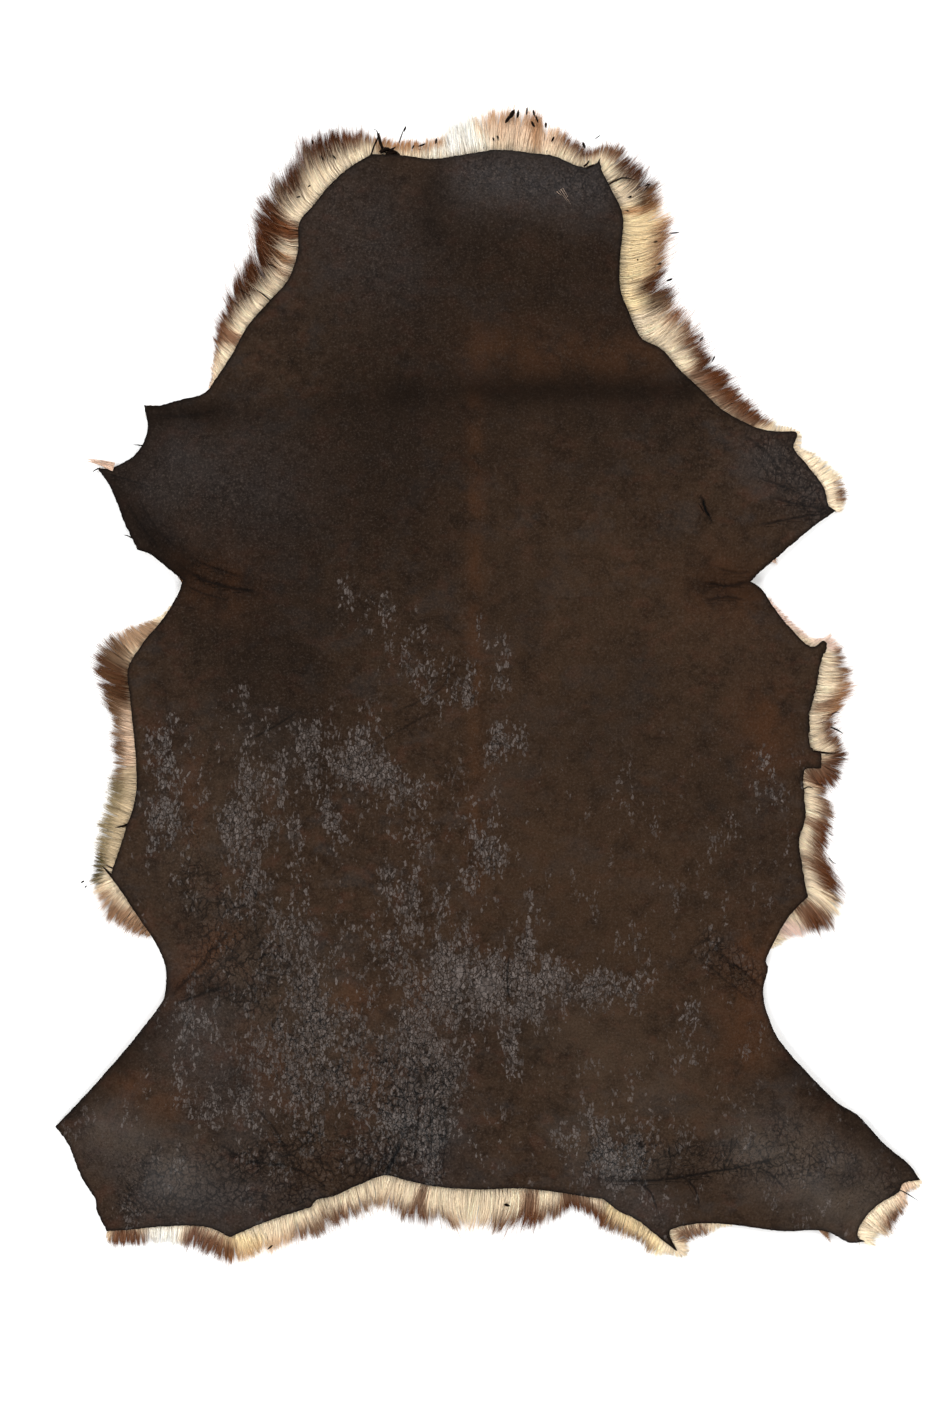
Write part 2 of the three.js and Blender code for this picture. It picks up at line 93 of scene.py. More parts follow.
# The skin's edge, clockwise as seen from above, one row for each stretch from one corner to the next.
# height: of the skin's face. reach: how far the hair shows past the edge. lean: how far it leans along the
# edge, clockwise, as a share of that reach, and curl: how much more its tips bend that way.
# ragged: how far the cut edge strays.
EDGE = [
    dict(place="neck top", height=[15, 17, 15], reach=[21, 16, 22, 37, 41, 46, 37, 22, 20],
         lean=[0.1, 0, 0, 0, 0, 0, 0.1], curl=[0.1, 0, 0, 0.1, 0.1], ragged=0.5,
         points=[[-116, 530], [-89, 529], [-56, 525], [-13, 531], [12, 534], [42, 531], [68, 527], [89, 518],
                 [102, 517]]),
    dict(place="neck tab", height=[12], reach=[24], lean=[-0.1], curl=[-0.2], ragged=0.8,
         points=[[112, 522]]),
    dict(place="right side of the neck", height=[15, 17, 17, 15, 13],
         reach=[34, 45, 49, 49, 51, 54, 51, 46, 38, 33, 29, 18, 9, 5],
         lean=[-0.1, 0.2, 0.22, 0.22, 0.3, 0.62, 0.55, 0.6, 0.65, 0.75, 0.6],
         curl=[-0.2, -0.4, -0.6, -0.6, -0.35, -0.3, -0.2, -0.2, -0.15, -0.1, -0.1], ragged=0.35,
         points=[[113, 515], [123, 495], [133, 474], [135, 462], [132, 429], [132, 396], [142, 368],
                 [154, 345], [173, 335], [191, 315], [210, 297], [235, 274], [267, 257], [284, 253]]),
    dict(place="right foreleg, outer edge", height=[9, 6], reach=[5, 9, 17, 22, 22, 13], lean=[0.1],
         curl=[0.1], ragged=0.5,
         points=[[308, 253], [310, 249], [306, 238], [321, 218], [337, 196], [342, 178]]),
    dict(place="right foreleg, rear edge", height=[5, 9, 13], reach=[0], lean=[0], curl=[0], ragged=0.5,
         points=[[349, 174], [330, 161], [309, 144], [287, 125], [275, 115]]),
    dict(place="right armpit", height=[12, 14, 14], reach=[0, 4, 8, 11, 12], lean=[1.1], curl=[-0.1],
         ragged=0.4, points=[[263, 103], [273, 96], [286, 76], [303, 55], [324, 37]]),
    dict(place="right flank, front", height=[14, 15, 15], reach=[7, 30, 43, 36, 28, 31, 27],
         lean=[0.2, 0.15, 0, 0.05, 0.1], curl=[-0.2, -0.4, -0.5, -0.3, 0], ragged=1.4,
         points=[[336, 44], [339, 39], [334, 27], [329, 1], [321, -36], [325, -66], [332, -69]]),
    dict(place="right flank, rear", height=[14, 15, 14], reach=[24, 28, 31, 32, 34, 37],
         lean=[0, 0.1, 0.15, 0.2], curl=[0.1, 0.35, 0.65, 0.65], ragged=0.8,
         points=[[333, -84], [317, -86], [316, -111], [317, -134], [311, -156], [315, -188]]),
    dict(place="right flank, drawn in", height=[14, 13], reach=[33, 27, 15, 4],
         lean=[0.3, 0.1, -0.3], curl=[0.2], ragged=0.4, points=[[320, -213], [309, -223], [297, -238]]),
    dict(place="right hind leg, front edge", height=[12, 13, 10, 6], reach=[0], lean=[0], curl=[0],
         ragged=0.4,
         points=[[282, -266], [278, -277], [280, -284], [275, -309], [286, -347], [297, -364], [322, -392],
                 [352, -421], [369, -431], [397, -461], [422, -482]]),
    dict(place="right hind foot", height=[5, 7], reach=[9, 14, 25, 31, 30, 13], lean=[0.1], curl=[0.05],
         ragged=0.6,
         points=[[433, -497], [416, -501], [412, -509], [390, -523], [373, -543], [371, -554]]),
    dict(place="right hind leg, rear edge", height=[6, 10, 12, 9], reach=[0, 0, 0, 0, 0, 0, 6, 15, 19, 17],
         lean=[-0.3], curl=[0], ragged=0.5,
         points=[[378, -559], [363, -560], [338, -548], [295, -548], [252, -542], [230, -540], [212, -540],
                 [194, -543], [182, -548]]),
    dict(place="right of the tail", height=[6, 12, 15], reach=[8, 20, 24, 26], lean=[-0.35], curl=[0],
         ragged=0.5, points=[[189, -568], [176, -558], [152, -538], [131, -527]]),
    dict(place="tail", height=[16, 17, 16], reach=[28, 18, 42, 46, 43, 44, 42, 31, 31, 36],
         lean=[-0.4, -0.35, -0.15, -0.22, -0.05, 0.25, 0.1, 0.15, 0.25, 0.25, 0.15],
         curl=[0, 0, 0.15, 0.5, 0.2, -0.5, -0.1, 0, 0, 0, 0], ragged=0.4,
         points=[[115, -515], [77, -509], [34, -504], [-8, -505], [-53, -502], [-85, -495], [-102, -491],
                 [-128, -500], [-155, -512], [-172, -516]]),
    dict(place="left of the tail", height=[14, 12], reach=[35, 31, 31, 28], lean=[0.1], curl=[0.05],
         ragged=0.5, points=[[-177, -523], [-208, -533], [-230, -541]]),
    dict(place="left hind leg, rear edge", height=[8, 10, 8], reach=[28, 29, 16, 18, 14], lean=[0.1],
         curl=[0], ragged=0.5, points=[[-259, -554], [-281, -544], [-323, -543], [-366, -547]]),
    dict(place="left hind foot", height=[5], reach=[3, 0, 0], lean=[0], curl=[0], ragged=0.7,
         points=[[-382, -548], [-392, -528], [-393, -519], [-409, -491], [-421, -461]]),
    dict(place="left hind leg, front edge", height=[5, 9, 12, 12], reach=[0], lean=[0], curl=[0], ragged=0.4,
         points=[[-434, -444], [-408, -417], [-367, -371], [-335, -331], [-325, -316], [-322, -300],
                 [-323, -282], [-328, -268]]),
    dict(place="left flank, drawn in", height=[13, 14], reach=[3, 20, 31, 24],
         lean=[-0.35, -0.3, 0], curl=[-0.1], ragged=0.4, points=[[-337, -252], [-358, -221], [-367, -207]]),
    dict(place="left flank", height=[13, 15, 15, 12], reach=[21, 28, 30, 27, 24, 31, 36, 23, 4, 0],
         lean=[0, 0, 0, 0.05, 0.1, 0.1, 0, -0.8, -1.2],
         curl=[0, 0, 0.05, 0.25, 0.35, 0.25, 0.1, 0.1], ragged=0.45,
         points=[[-378, -192], [-368, -164], [-362, -145], [-352, -111], [-352, -76], [-358, -13],
                 [-360, 15], [-345, 41], [-323, 68], [-309, 93]]),
    dict(place="left foreleg, rear edge", height=[12, 9], reach=[4, 0], lean=[0], curl=[0], ragged=0.5,
         points=[[-305, 104], [-319, 115], [-338, 130]]),
    dict(place="left foreleg, outer edge", height=[8, 5], reach=[0], lean=[0], curl=[0], ragged=0.6,
         points=[[-351, 135], [-363, 159], [-375, 190], [-381, 202]]),
    dict(place="left forefoot", height=[5, 8], reach=[0], lean=[0], curl=[0], ragged=0.5,
         points=[[-392, 217], [-381, 216], [-366, 222], [-350, 234], [-341, 257]]),
    dict(place="left shoulder", height=[8, 12], reach=[0, 0, 0, 8], lean=[0.3], curl=[0.2], ragged=0.5,
         points=[[-345, 280], [-332, 279], [-306, 285], [-283, 292]]),
    dict(place="left side of the neck", height=[13, 16, 17, 15],
         reach=[16, 28, 36, 47, 51, 53, 49, 50, 49, 46, 22],
         lean=[0.05, -0.15, -0.3, -0.35, -0.2, -0.05, 0],
         curl=[0.3, 0.5, 0.7, 0.8, 0.6, 0.4, 0.25], ragged=0.35,
         points=[[-271, 307], [-254, 333], [-241, 357], [-218, 383], [-200, 404], [-190, 432], [-188, 462],
                 [-176, 477], [-157, 500], [-138, 517]]),
]

# Soft ridges (rise above 0) and troughs in the face, from one end to the other, with the distance from the
# middle at which each has mostly died away. They are the part's own.
FOLDS = table("place start end rise spread", [
    ["trough across the shoulders", [-190, 282], [150, 286], -4, 26],
    ["end of that trough", [60, 292], [215, 292], -3, 20],
    ["left armpit crease", [-300, 112], [-225, 92], -7, 16],
    ["roll above it", [-320, 150], [-245, 125], 4, 22],
    ["right armpit crease", [212, 90], [262, 102], -7, 16],
    ["roll above that", [225, 125], [275, 135], 4, 20],
    ["left flank ridge", [-245, -240], [-318, -306], 7, 17],
    ["hollow under it", [-262, -290], [-318, -330], -4, 20],
    ["right flank ridge", [222, -262], [272, -300], 6, 17],
    ["crease beside it", [205, -300], [268, -330], -4, 18],
    ["crease across the right rump", [110, -496], [300, -472], -4, 18],
    ["roll above that crease", [130, -466], [290, -440], 3, 22],
    ["fold in at the tail", [-90, -455], [-104, -492], -5, 14],
    ["left hind leg crease", [-245, -440], [-190, -485], -4, 18],
    ["left shoulder crease", [-325, 268], [-270, 270], -3, 16],
    ["right foreleg ridge", [262, 240], [318, 190], 3, 16],
])

# Creases and scars in the face: each along its own points, with its half width and how deep and dark it is.
# The dark of the folds is painted shade; that of the scars, veins and cracks is their own.
CREASES = table("place width amount points", [
    ["left armpit", 1.6, 0.6, [[-304, 115], [-280, 103], [-255, 96], [-226, 91]]],
    ["above it", 1.2, 0.45, [[-297, 125], [-272, 115], [-243, 106]]],
    ["below it", 1.1, 0.4, [[-302, 99], [-286, 91], [-262, 84]]],
    ["right armpit", 1.6, 0.55, [[214, 101], [240, 99], [264, 103]]],
    ["under it", 1.3, 0.45, [[215, 83], [236, 87], [258, 85]]],
    ["over it", 1.1, 0.35, [[228, 116], [246, 112], [264, 112]]],
    ["left flank", 1.7, 0.5, [[-248, -238], [-270, -260], [-292, -288], [-321, -315]]],
    ["beside that", 1.2, 0.35, [[-242, -254], [-262, -276], [-286, -304]]],
    ["left flank, lower", 1.2, 0.5, [[-262, -300], [-290, -312], [-318, -322]]],
    ["right flank", 1.6, 0.45, [[225, -264], [248, -282], [277, -306]]],
    ["under that", 1.2, 0.35, [[214, -276], [236, -295], [266, -318]]],
    ["rump", 1.2, 0.65, [[104, -494], [150, -497], [192, -493], [232, -486], [270, -478], [306, -470]]],
    ["rump branch", 0.9, 0.6, [[150, -497], [163, -510], [170, -528]]],
    ["second rump branch", 0.9, 0.6, [[196, -493], [208, -506], [212, -524]]],
    ["third rump branch", 0.9, 0.5, [[232, -486], [241, -470], [244, -450]]],
    ["fourth rump branch", 0.9, 0.5, [[176, -494], [182, -479], [179, -460]]],
    ["fifth rump branch", 0.9, 0.5, [[262, -479], [284, -491], [300, -508]]],
    ["tail fold", 2, 0.85, [[-86, -456], [-94, -474], [-103, -493]]],
    ["beside the tail fold", 1.3, 0.6, [[-119, -497], [-112, -487], [-106, -476]]],
    ["tail wrinkle", 0.8, 0.45, [[-85, -400], [-82, -430], [-84, -452]]],
    ["second tail wrinkle", 0.8, 0.55, [[-72, -396], [-70, -440], [-75, -486]]],
    ["third tail wrinkle", 0.8, 0.5, [[-58, -405], [-56, -450], [-61, -490]]],
    ["fourth tail wrinkle", 0.8, 0.45, [[-44, -420], [-43, -455], [-47, -492]]],
    ["left hind leg", 1.9, 0.65, [[-246, -475], [-220, -479], [-196, -481]]],
    ["its upper end", 1, 0.5, [[-232, -422], [-216, -440], [-204, -462], [-200, -478]]],
    ["its left end", 1, 0.5, [[-262, -462], [-250, -470], [-240, -476]]],
    ["its lower end", 0.9, 0.45, [[-250, -500], [-234, -490], [-222, -481]]],
    ["its right end", 1, 0.5, [[-198, -482], [-178, -491], [-160, -504]]],
    ["its far end", 0.8, 0.45, [[-203, -472], [-186, -462], [-172, -446]]],
    ["left hind corner", 0.9, 0.45, [[-372, -506], [-352, -515], [-338, -532]]],
    ["beside that corner", 0.8, 0.4, [[-378, -518], [-358, -527], [-347, -540]]],
    ["left forefoot", 1.3, 0.3, [[-364, 186], [-349, 160], [-325, 130]]],
    ["behind it", 1.3, 0.3, [[-351, 188], [-335, 160], [-311, 132]]],
    ["left forefoot, front", 1, 0.4, [[-388, 212], [-362, 205], [-335, 196]]],
    ["left shoulder", 1.4, 0.35, [[-336, 270], [-304, 268], [-270, 274]]],
    ["right forefoot", 1.2, 0.55, [[282, 186], [312, 180], [344, 174]]],
    ["under it, right", 1.2, 0.55, [[268, 158], [304, 166], [338, 171]]],
    ["right forefoot, front", 1, 0.45, [[262, 210], [298, 196], [334, 181]]],
    ["right shoulder", 1.2, 0.45, [[252, 252], [276, 234], [297, 208]]],
    ["vein", 0.9, 0.35, [[-38, 34], [-43, 0], [-68, -17], [-93, -28]]],
    ["long vein", 0.8, 0.3, [[-40, -18], [-95, -50], [-158, -86]]],
    ["belly line", 0.9, 0.45, [[-188, -26], [-212, -42], [-240, -57]]],
    ["scratch", 1.5, 0.95, [[213, 186], [216, 176], [221, 164]]],
    ["plate crack", 0.8, 0.6, [[22, -268], [19, -290], [22, -318]]],
])
CREASE_REACH = 4.4  # a crease's sides are worked out this far to both sides of it
CREASE_FADE = 3.3  # and from here outwards it dies away

# The wide, low swells of a skin that never lies fully flat.
SWELLS = table("across along shift rise", [
    [410, 520, 0.7, 1.7],
    [-230, 310, 2.1, 1.1],
    [150, -190, 4.4, 0.6],
])

# Where the glaze on the leather has cracked into pale flakes.
GLAZE = table("start end spread amount", [
    [[-143, 94], [-143, 64], 13, 0.5],
    [[-98, 64], [-58, -6], 26, 0.6],
    [[-20, 14], [-20, -12], 15, 0.6],
    [[12, 30], [14, 10], 20, 0.7],
    [[-10, 66], [-10, 44], 5, 0.5],
    [[-251, -16], [-251, -56], 25, 0.55],
    [[-186, -50], [-160, -80], 25, 0.6],
    [[-120, -56], [-120, -84], 21, 0.95],
    [[-98, -96], [-80, -106], 19, 0.7],
    [[-156, -120], [-156, -134], 18, 0.6],
    [[14, -46], [14, -60], 16, 0.95],
    [[-238, -96], [-198, -98], 20, 0.6],
    [[-328, -60], [-322, -150], 32, 0.55],
    [[-252, -135], [-248, -228], 19, 0.55],
    [[-255, -146], [-195, -146], 14, 0.45],
    [[-12, -145], [-8, -178], 23, 0.7],
    [[277, -90], [277, -102], 20, 0.4],
    [[-75, -215], [-62, -350], 46, 0.5],
    [[-200, -230], [-175, -340], 42, 0.45],
    [[-172, -290], [-172, -345], 28, 0.4],
    [[-20, -295], [30, -300], 32, 1.25],
    [[22, -330], [22, -392], 11, 0.7],
    [[42, -210], [42, -262], 8, 0.6],
    [[60, -276], [60, -290], 10, 0.6],
    [[95, -300], [150, -302], 26, 0.6],
    [[202, -330], [202, -372], 15, 0.4],
    [[-63, -360], [-63, -490], 28, 0.5],
    [[-170, -400], [-85, -440], 48, 0.62],
    [[112, -452], [132, -488], 28, 0.85],
    [[-300, -330], [-240, -420], 45, 0.4],
])

# Where the leather's brown turns cooler, warmer, paler, rusty, dark or finely wrinkled. The cooler places
# are a grey bloom with painted sheen on it, the rusty rows at the armpits and on the left flank ridge are
# painted highlights on fold ridges, and the dark rows are mostly painted shade.
TINTS = dict(
    deep=table("start end spread amount", [
        [[-70, 410], [90, 400], 120, 1],
        [[-250, 190], [-130, 200], 110, 1],
        [[-20, 250], [140, 240], 90, 0.45],
        [[-250, 60], [-200, -30], 80, 0.9],
        [[-60, 80], [240, -100], 90, 0.2],
        [[-345, 240], [-320, 150], 45, 0.6],
    ]),
    # cooler: a grey bloom on the leather, with painted sheen where the skin slopes down to the edge
    bloom_and_painted_sheen=table("start end spread amount", [
        [[-160, 480], [-110, 430], 60, 0.4],
        [[-10, 508], [100, 498], 34, 1],
        [[-320, 210], [-230, 200], 60, 0.4],
        [[280, 225], [335, 185], 32, 0.6],
        [[-305, -330], [-260, -400], 50, 0.6],
        [[-385, -455], [-320, -480], 30, 0.8],
        [[-340, -515], [-240, -520], 34, 0.65],
        [[280, -465], [365, -510], 36, 0.8],
        [[120, -500], [170, -530], 22, 0.6],
        [[-60, -380], [-60, -490], 40, 0.4],
    ]),
    warm=table("start end spread amount", [
        [[32, 250], [32, -190], 95, 0.5],
        [[200, 100], [220, -200], 100, 0.45],
        [[120, -220], [180, -420], 100, 0.45],
        [[60, 420], [110, 330], 60, 0.35],
    ]),
    pale=table("start end spread amount", [
        [[275, -462], [372, -522], 40, 0.9],
        [[-385, -455], [-310, -482], 34, 0.6],
        [[96, -448], [150, -490], 30, 0.5],
        [[90, -350], [170, -400], 50, 0.3],
        [[-230, -290], [-130, -360], 60, 0.35],
        [[-240, -80], [-300, -190], 50, 0.25],
    ]),
    # rusty: the leather's own rusty brown, and on the rows at the two armpits and along the left flank ridge
    # a painted highlight on the fold's ridge
    rust=table("start end spread amount", [
        [[-13, 284], [-13, -216], 9, 0.35],
        [[277, -30], [277, -62], 30, 0.5],
        [[262, -262], [255, -370], 26, 0.5],
        [[-5, 330], [150, 328], 28, 0.35],
        [[-260, -250], [-322, -312], 16, 0.6],
        [[-293, -80], [-293, -145], 11, 0.45],
        [[-360, -402], [-315, -420], 17, 0.5],
        [[228, 96], [252, 92], 32, 0.45],
        [[-296, 108], [-262, 100], 32, 0.45],
        [[-230, -370], [-216, -384], 26, 0.5],
        [[-138, -318], [-118, -318], 19, 0.5],
        [[-118, -388], [-118, -404], 24, 0.45],
        [[-63, -308], [-63, -334], 18, 0.5],
    ]),
    # dark: painted shade in the shoulder trough, the armpit, flank and rump folds and along the legs'
    # down-turned edges; the streak down the neck is the leather's own
    dark=table("start end spread amount", [
        [[-88, 289], [212, 299], 24, 0.4],
        [[-8, 292], [200, 292], 14, 0.45],
        [[-288, 264], [-88, 284], 19, 0.3],
        [[-328, 274], [-273, 274], 15, 0.6],
        [[-376, 190], [-312, 118], 20, 0.75],
        [[-345, 262], [-352, 235], 22, 0.5],
        [[-300, 106], [-240, 94], 16, 0.5],
        [[225, 96], [265, 100], 18, 0.6],
        [[302, -380], [412, -476], 17, 0.6],
        [[-428, -430], [-330, -340], 17, 0.6],
        [[-323, -302], [-258, -310], 13, 0.5],
        [[-248, -388], [-248, -404], 13, 0.5],
        [[-53, 500], [-53, 450], 18, 0.45],
        [[110, -497], [200, -494], 10, 0.4],
    ]),
    wrinkles=table("start end spread amount", [
        [[-340, -500], [-190, -490], 40, 0.9],
        [[-66, -395], [-64, -492], 26, 0.9],
        [[-190, -480], [-110, -478], 26, 0.7],
        [[112, -470], [300, -482], 30, 0.7],
        [[300, -450], [400, -505], 30, 0.6],
        [[-350, 200], [-260, 180], 45, 0.35],
        [[280, 230], [330, 180], 30, 0.7],
        [[-10, 508], [110, 496], 30, 0.5],
        [[-150, 480], [-110, 420], 50, 0.35],
        [[-300, -150], [-250, -280], 40, 0.45],
        [[-250, -280], [-120, -400], 75, 0.45],
        [[-300, 112], [-228, 93], 24, 0.35],
        [[218, 95], [264, 101], 24, 0.35],
        [[222, -262], [274, -302], 24, 0.7],
    ]),
)

# The hair's colours, as they look in daylight, from 0 to 255.
SHADES = dict(
    cream=(244, 226, 198), white=(255, 250, 240), yellow=(242, 218, 170), pink=(220, 190, 168),
    tan=(176, 124, 80), brown=(104, 62, 38), dark=(66, 37, 23), rust=(128, 74, 40), olive=(136, 124, 92),
    moss=(84, 78, 50), straw=(208, 190, 158), bark=(104, 76, 54), tawny=(158, 122, 94),
    blush=(240, 212, 200),
)
THIN_END = (134, 84, 57)  # brown hair's ends, with light through them
HALF_DYED = np.array([0.0, 0.5, 1.3])  # red, green and blue that hair loses where it turns from pale to dark

# The fleece's markings, one row each: a band of the given shade and half width from one end to the other.
MARKINGS = table("shade start end width amount", [
    ["pink", [-281, 339], [-288, 289], 11, 0.6],
    ["pink", [-358, -30], [-357, -96], 9, 0.6],
    ["straw", [-362, -96], [-376, -170], 14, 0.8],
    ["yellow", [126, -525], [166, -560], 9, 0.6],
    ["yellow", [-255, -560], [-232, -565], 12, 0.6],
    ["yellow", [138, 470], [136, 380], 12, 0.5],
    ["rust", [-200, 455], [-188, 451], 8, 0.9],
    ["rust", [-222, 454], [-200, 455], 6, 0.7],
    ["dark", [-192, 462], [-188, 440], 5, 0.85],
    ["brown", [-199, 421], [-200, 408], 6, 0.85],
    ["tan", [-215, 424], [-194, 426], 3, 0.8],
    ["rust", [-290, 347], [-250, 345], 6, 0.8],
    ["tan", [-106, 538], [-60, 545], 7, 0.5],
    ["white", [-50, 546], [-12, 552], 19, 0.95],
    ["pink", [5, 560], [65, 552], 18, 0.5],
    ["tan", [45, 570], [48, 540], 5, 0.55],
    ["tan", [72, 556], [80, 540], 4, 0.5],
    ["tan", [134, 474], [152, 471], 2.6, 0.75],
    ["tan", [152, 471], [168, 486], 2.4, 0.5],
    ["brown", [158, 397], [185, 402], 8, 0.95],
    ["brown", [210, 308], [262, 266], 12, 0.82],
    ["brown", [325, -91], [352, -78], 10, 0.9],
    ["brown", [330, -24], [364, -5], 4, 0.8],
    ["blush", [298, -246], [318, -250], 8, 0.8],
    ["brown", [314, -222], [338, -236], 9, 0.9],
    ["brown", [322, -176], [346, -196], 6, 0.8],
    ["brown", [320, -136], [338, -150], 4, 0.7],
    ["blush", [285, 78], [345, 44], 12, 0.75],
    ["tawny", [-340, 54], [-374, 40], 11, 0.75],
    ["bark", [-376, 28], [-366, 0], 17, 0.85],
    ["bark", [-366, 0], [-368, -16], 14, 0.85],
    ["dark", [-364, 12], [-362, -12], 8, 0.7],
    ["tawny", [-374, -230], [-346, -246], 12, 0.9],
    ["brown", [-368, -555], [-344, -562], 13, 0.95],
    ["white", [-333, -552], [-292, -556], 11, 0.85],
    ["brown", [-294, -556], [-264, -570], 14, 0.95],
    ["brown", [-63, -504], [-78, -532], 5, 0.8],
    ["brown", [44, -508], [36, -540], 8, 0.85],
    ["brown", [80, -510], [112, -534], 8, 0.85],
    ["brown", [197, -552], [214, -551], 9, 0.85],
    ["pink", [420, -506], [420, -516], 9, 0.6],
])

# Where the hairs' tips are darker, one row each: the line that their tips follow, how far from it they may
# end, and the share of the hair's full reach past the edge at which the darker part begins.
TIPS = table("shade start end width begins amount", [
    ["brown", [-284, 300], [-276, 352], 16, 0.7, 0.6],
    ["brown", [-276, 352], [-258, 396], 18, 0.62, 0.85],
    ["dark", [-262, 392], [-244, 428], 20, 0.44, 0.95],
    ["dark", [-244, 428], [-220, 484], 21, 0.36, 1],
    ["dark", [-220, 484], [-200, 512], 19, 0.4, 1],
    ["dark", [-196, 518], [-170, 546], 17, 0.54, 0.95],
    ["dark", [-166, 552], [-142, 562], 17, 0.44, 1],
    ["brown", [-140, 558], [-114, 550], 14, 0.6, 0.85],
    ["tan", [-106, 545], [-58, 552], 14, 0.5, 0.7],
    ["tan", [0, 572], [60, 572], 12, 0.7, 0.4],
    ["brown", [82, 548], [100, 540], 11, 0.5, 0.9],
    ["brown", [104, 540], [122, 538], 9, 0.55, 0.8],
    ["brown", [130, 536], [150, 530], 14, 0.45, 0.9],
    ["dark", [152, 528], [174, 504], 17, 0.42, 0.95],
    ["tan", [176, 500], [182, 470], 12, 0.72, 0.5],
    ["rust", [182, 462], [180, 418], 13, 0.66, 0.8],
    ["dark", [180, 408], [186, 392], 13, 0.4, 0.9],
    ["brown", [187, 388], [190, 372], 11, 0.75, 0.55],
    ["rust", [196, 368], [212, 354], 14, 0.66, 0.85],
    ["brown", [216, 352], [240, 320], 19, 0.42, 0.95],
    ["dark", [226, 326], [244, 304], 14, 0.5, 0.8],
    ["brown", [238, 308], [270, 262], 14, 0.35, 0.9],
    ["brown", [342, 202], [358, 192], 9, 0.5, 0.9],
    ["brown", [358, 28], [374, 12], 12, 0.55, 0.85],
    ["tan", [366, 4], [352, -26], 12, 0.6, 0.6],
    ["brown", [348, -30], [352, -66], 14, 0.5, 0.9],
    ["dark", [352, -72], [346, -96], 13, 0.4, 0.85],
    ["brown", [343, -104], [343, -160], 13, 0.5, 0.85],
    ["brown", [344, -160], [354, -206], 15, 0.42, 0.95],
    ["brown", [352, -206], [330, -238], 14, 0.45, 0.9],
    ["bark", [-392, 20], [-390, -24], 16, 0.4, 0.6],
    ["bark", [-387, -30], [-378, -64], 13, 0.45, 0.8],
    ["bark", [-378, -64], [-376, -100], 12, 0.55, 0.75],
    ["olive", [-382, -106], [-396, -176], 14, 0.5, 0.75],
    ["moss", [-400, -178], [-392, -196], 12, 0.4, 0.95],
    ["tawny", [-392, -226], [-352, -246], 13, 0.45, 0.8],
    ["tan", [-258, -576], [-190, -562], 11, 0.66, 0.4],
    ["brown", [-182, -556], [-150, -536], 14, 0.45, 0.85],
    ["brown", [-148, -536], [-112, -538], 12, 0.6, 0.8],
    ["brown", [-104, -540], [-42, -550], 13, 0.62, 0.9],
    ["rust", [-34, -556], [8, -552], 10, 0.84, 0.5],
    ["brown", [10, -552], [40, -548], 12, 0.62, 0.85],
    ["brown", [40, -540], [76, -524], 12, 0.5, 0.9],
    ["brown", [84, -528], [126, -546], 13, 0.45, 0.9],
    ["brown", [138, -550], [156, -564], 10, 0.6, 0.8],
    ["brown", [404, -520], [414, -552], 12, 0.5, 0.9],
])

# Torn slivers of leather and threads that hang off the edge, each along its own points.
SLIVERS = table("place width points", [
    ["neck, thread of the loop", 2.1, [[-117, 529], [-114, 539], [-110, 549], [-112, 555], [-117, 557]]],
    ["neck, its other leg", 3.6, [[-110, 551], [-107, 540], [-103, 533], [-98, 527]]],
    ["neck, knot", 5, [[-108, 532], [-101, 536], [-94, 531]]],
    ["neck, across the knot", 4.2, [[-103, 527], [-98, 534], [-92, 539]]],
    ["neck, end of the knot", 4, [[-101, 530], [-92, 532], [-85, 527]]],
    ["neck, under the knot", 3.2, [[-96, 534], [-90, 531], [-88, 525]]],
    ["neck, upright thread", 1.5, [[-89, 541], [-86, 551], [-82, 561]]],
    ["neck corner", 5, [[98, 515], [106, 519], [113, 523]]],
    ["neck corner, end", 3, [[102, 518], [109, 520], [113, 528]]],
    ["neck corner, front", 2.4, [[96, 518], [100, 522], [102, 526]]],
    ["neck, right thread", 2, [[118, 498], [126, 503], [135, 507], [150, 505]]],
    ["neck, left thread", 1.6, [[-215, 381], [-225, 390], [-236, 398]]],
    ["neck, second left thread", 1.1, [[-249, 395], [-242, 391], [-236, 388]]],
    ["neck, short left thread", 1.5, [[-220, 420], [-216, 419], [-211, 416]]],
    ["left flank", 2.8, [[-356, -139], [-365, -142], [-375, -144]]],
    ["left flank corner", 3, [[-374, -196], [-380, -189], [-387, -182]]],
    ["beside it", 2, [[-370, -187], [-377, -184], [-384, -181]]],
    ["left foreleg", 1.5, [[-356, 146], [-362, 149], [-367, 150]]],
    ["left forefoot", 1.5, [[-346, 239], [-352, 240], [-358, 240]]],
    ["left forefoot tip", 1.6, [[-389, 217], [-394, 215], [-398, 212]]],
    ["right flank tab", 2.4, [[326, -67], [339, -69], [351, -69]]],
    ["right flank hair", 1, [[350, -72], [356, -74], [362, -77]]],
    ["right flank fringe", 1.6, [[314, -106], [321, -103], [327, -105]]],
    ["right flank thread", 1.3, [[344, -30], [349, -28], [353, -29]]],
    ["right flank knot", 2, [[343, -43], [350, -46], [357, -50]]],
    ["right flank speck", 1.1, [[341, -149], [344, -151], [347, -152]]],
    ["right flank curl", 1.2, [[341, -174], [345, -178], [350, -181]]],
    ["right hind foot", 1.5, [[408, -505], [420, -511], [434, -520]]],
    ["tail corner", 2.4, [[179, -553], [185, -561], [190, -569]]],
    ["right foreleg", 1.4, [[340, 179], [345, 176], [350, 172]]],
])

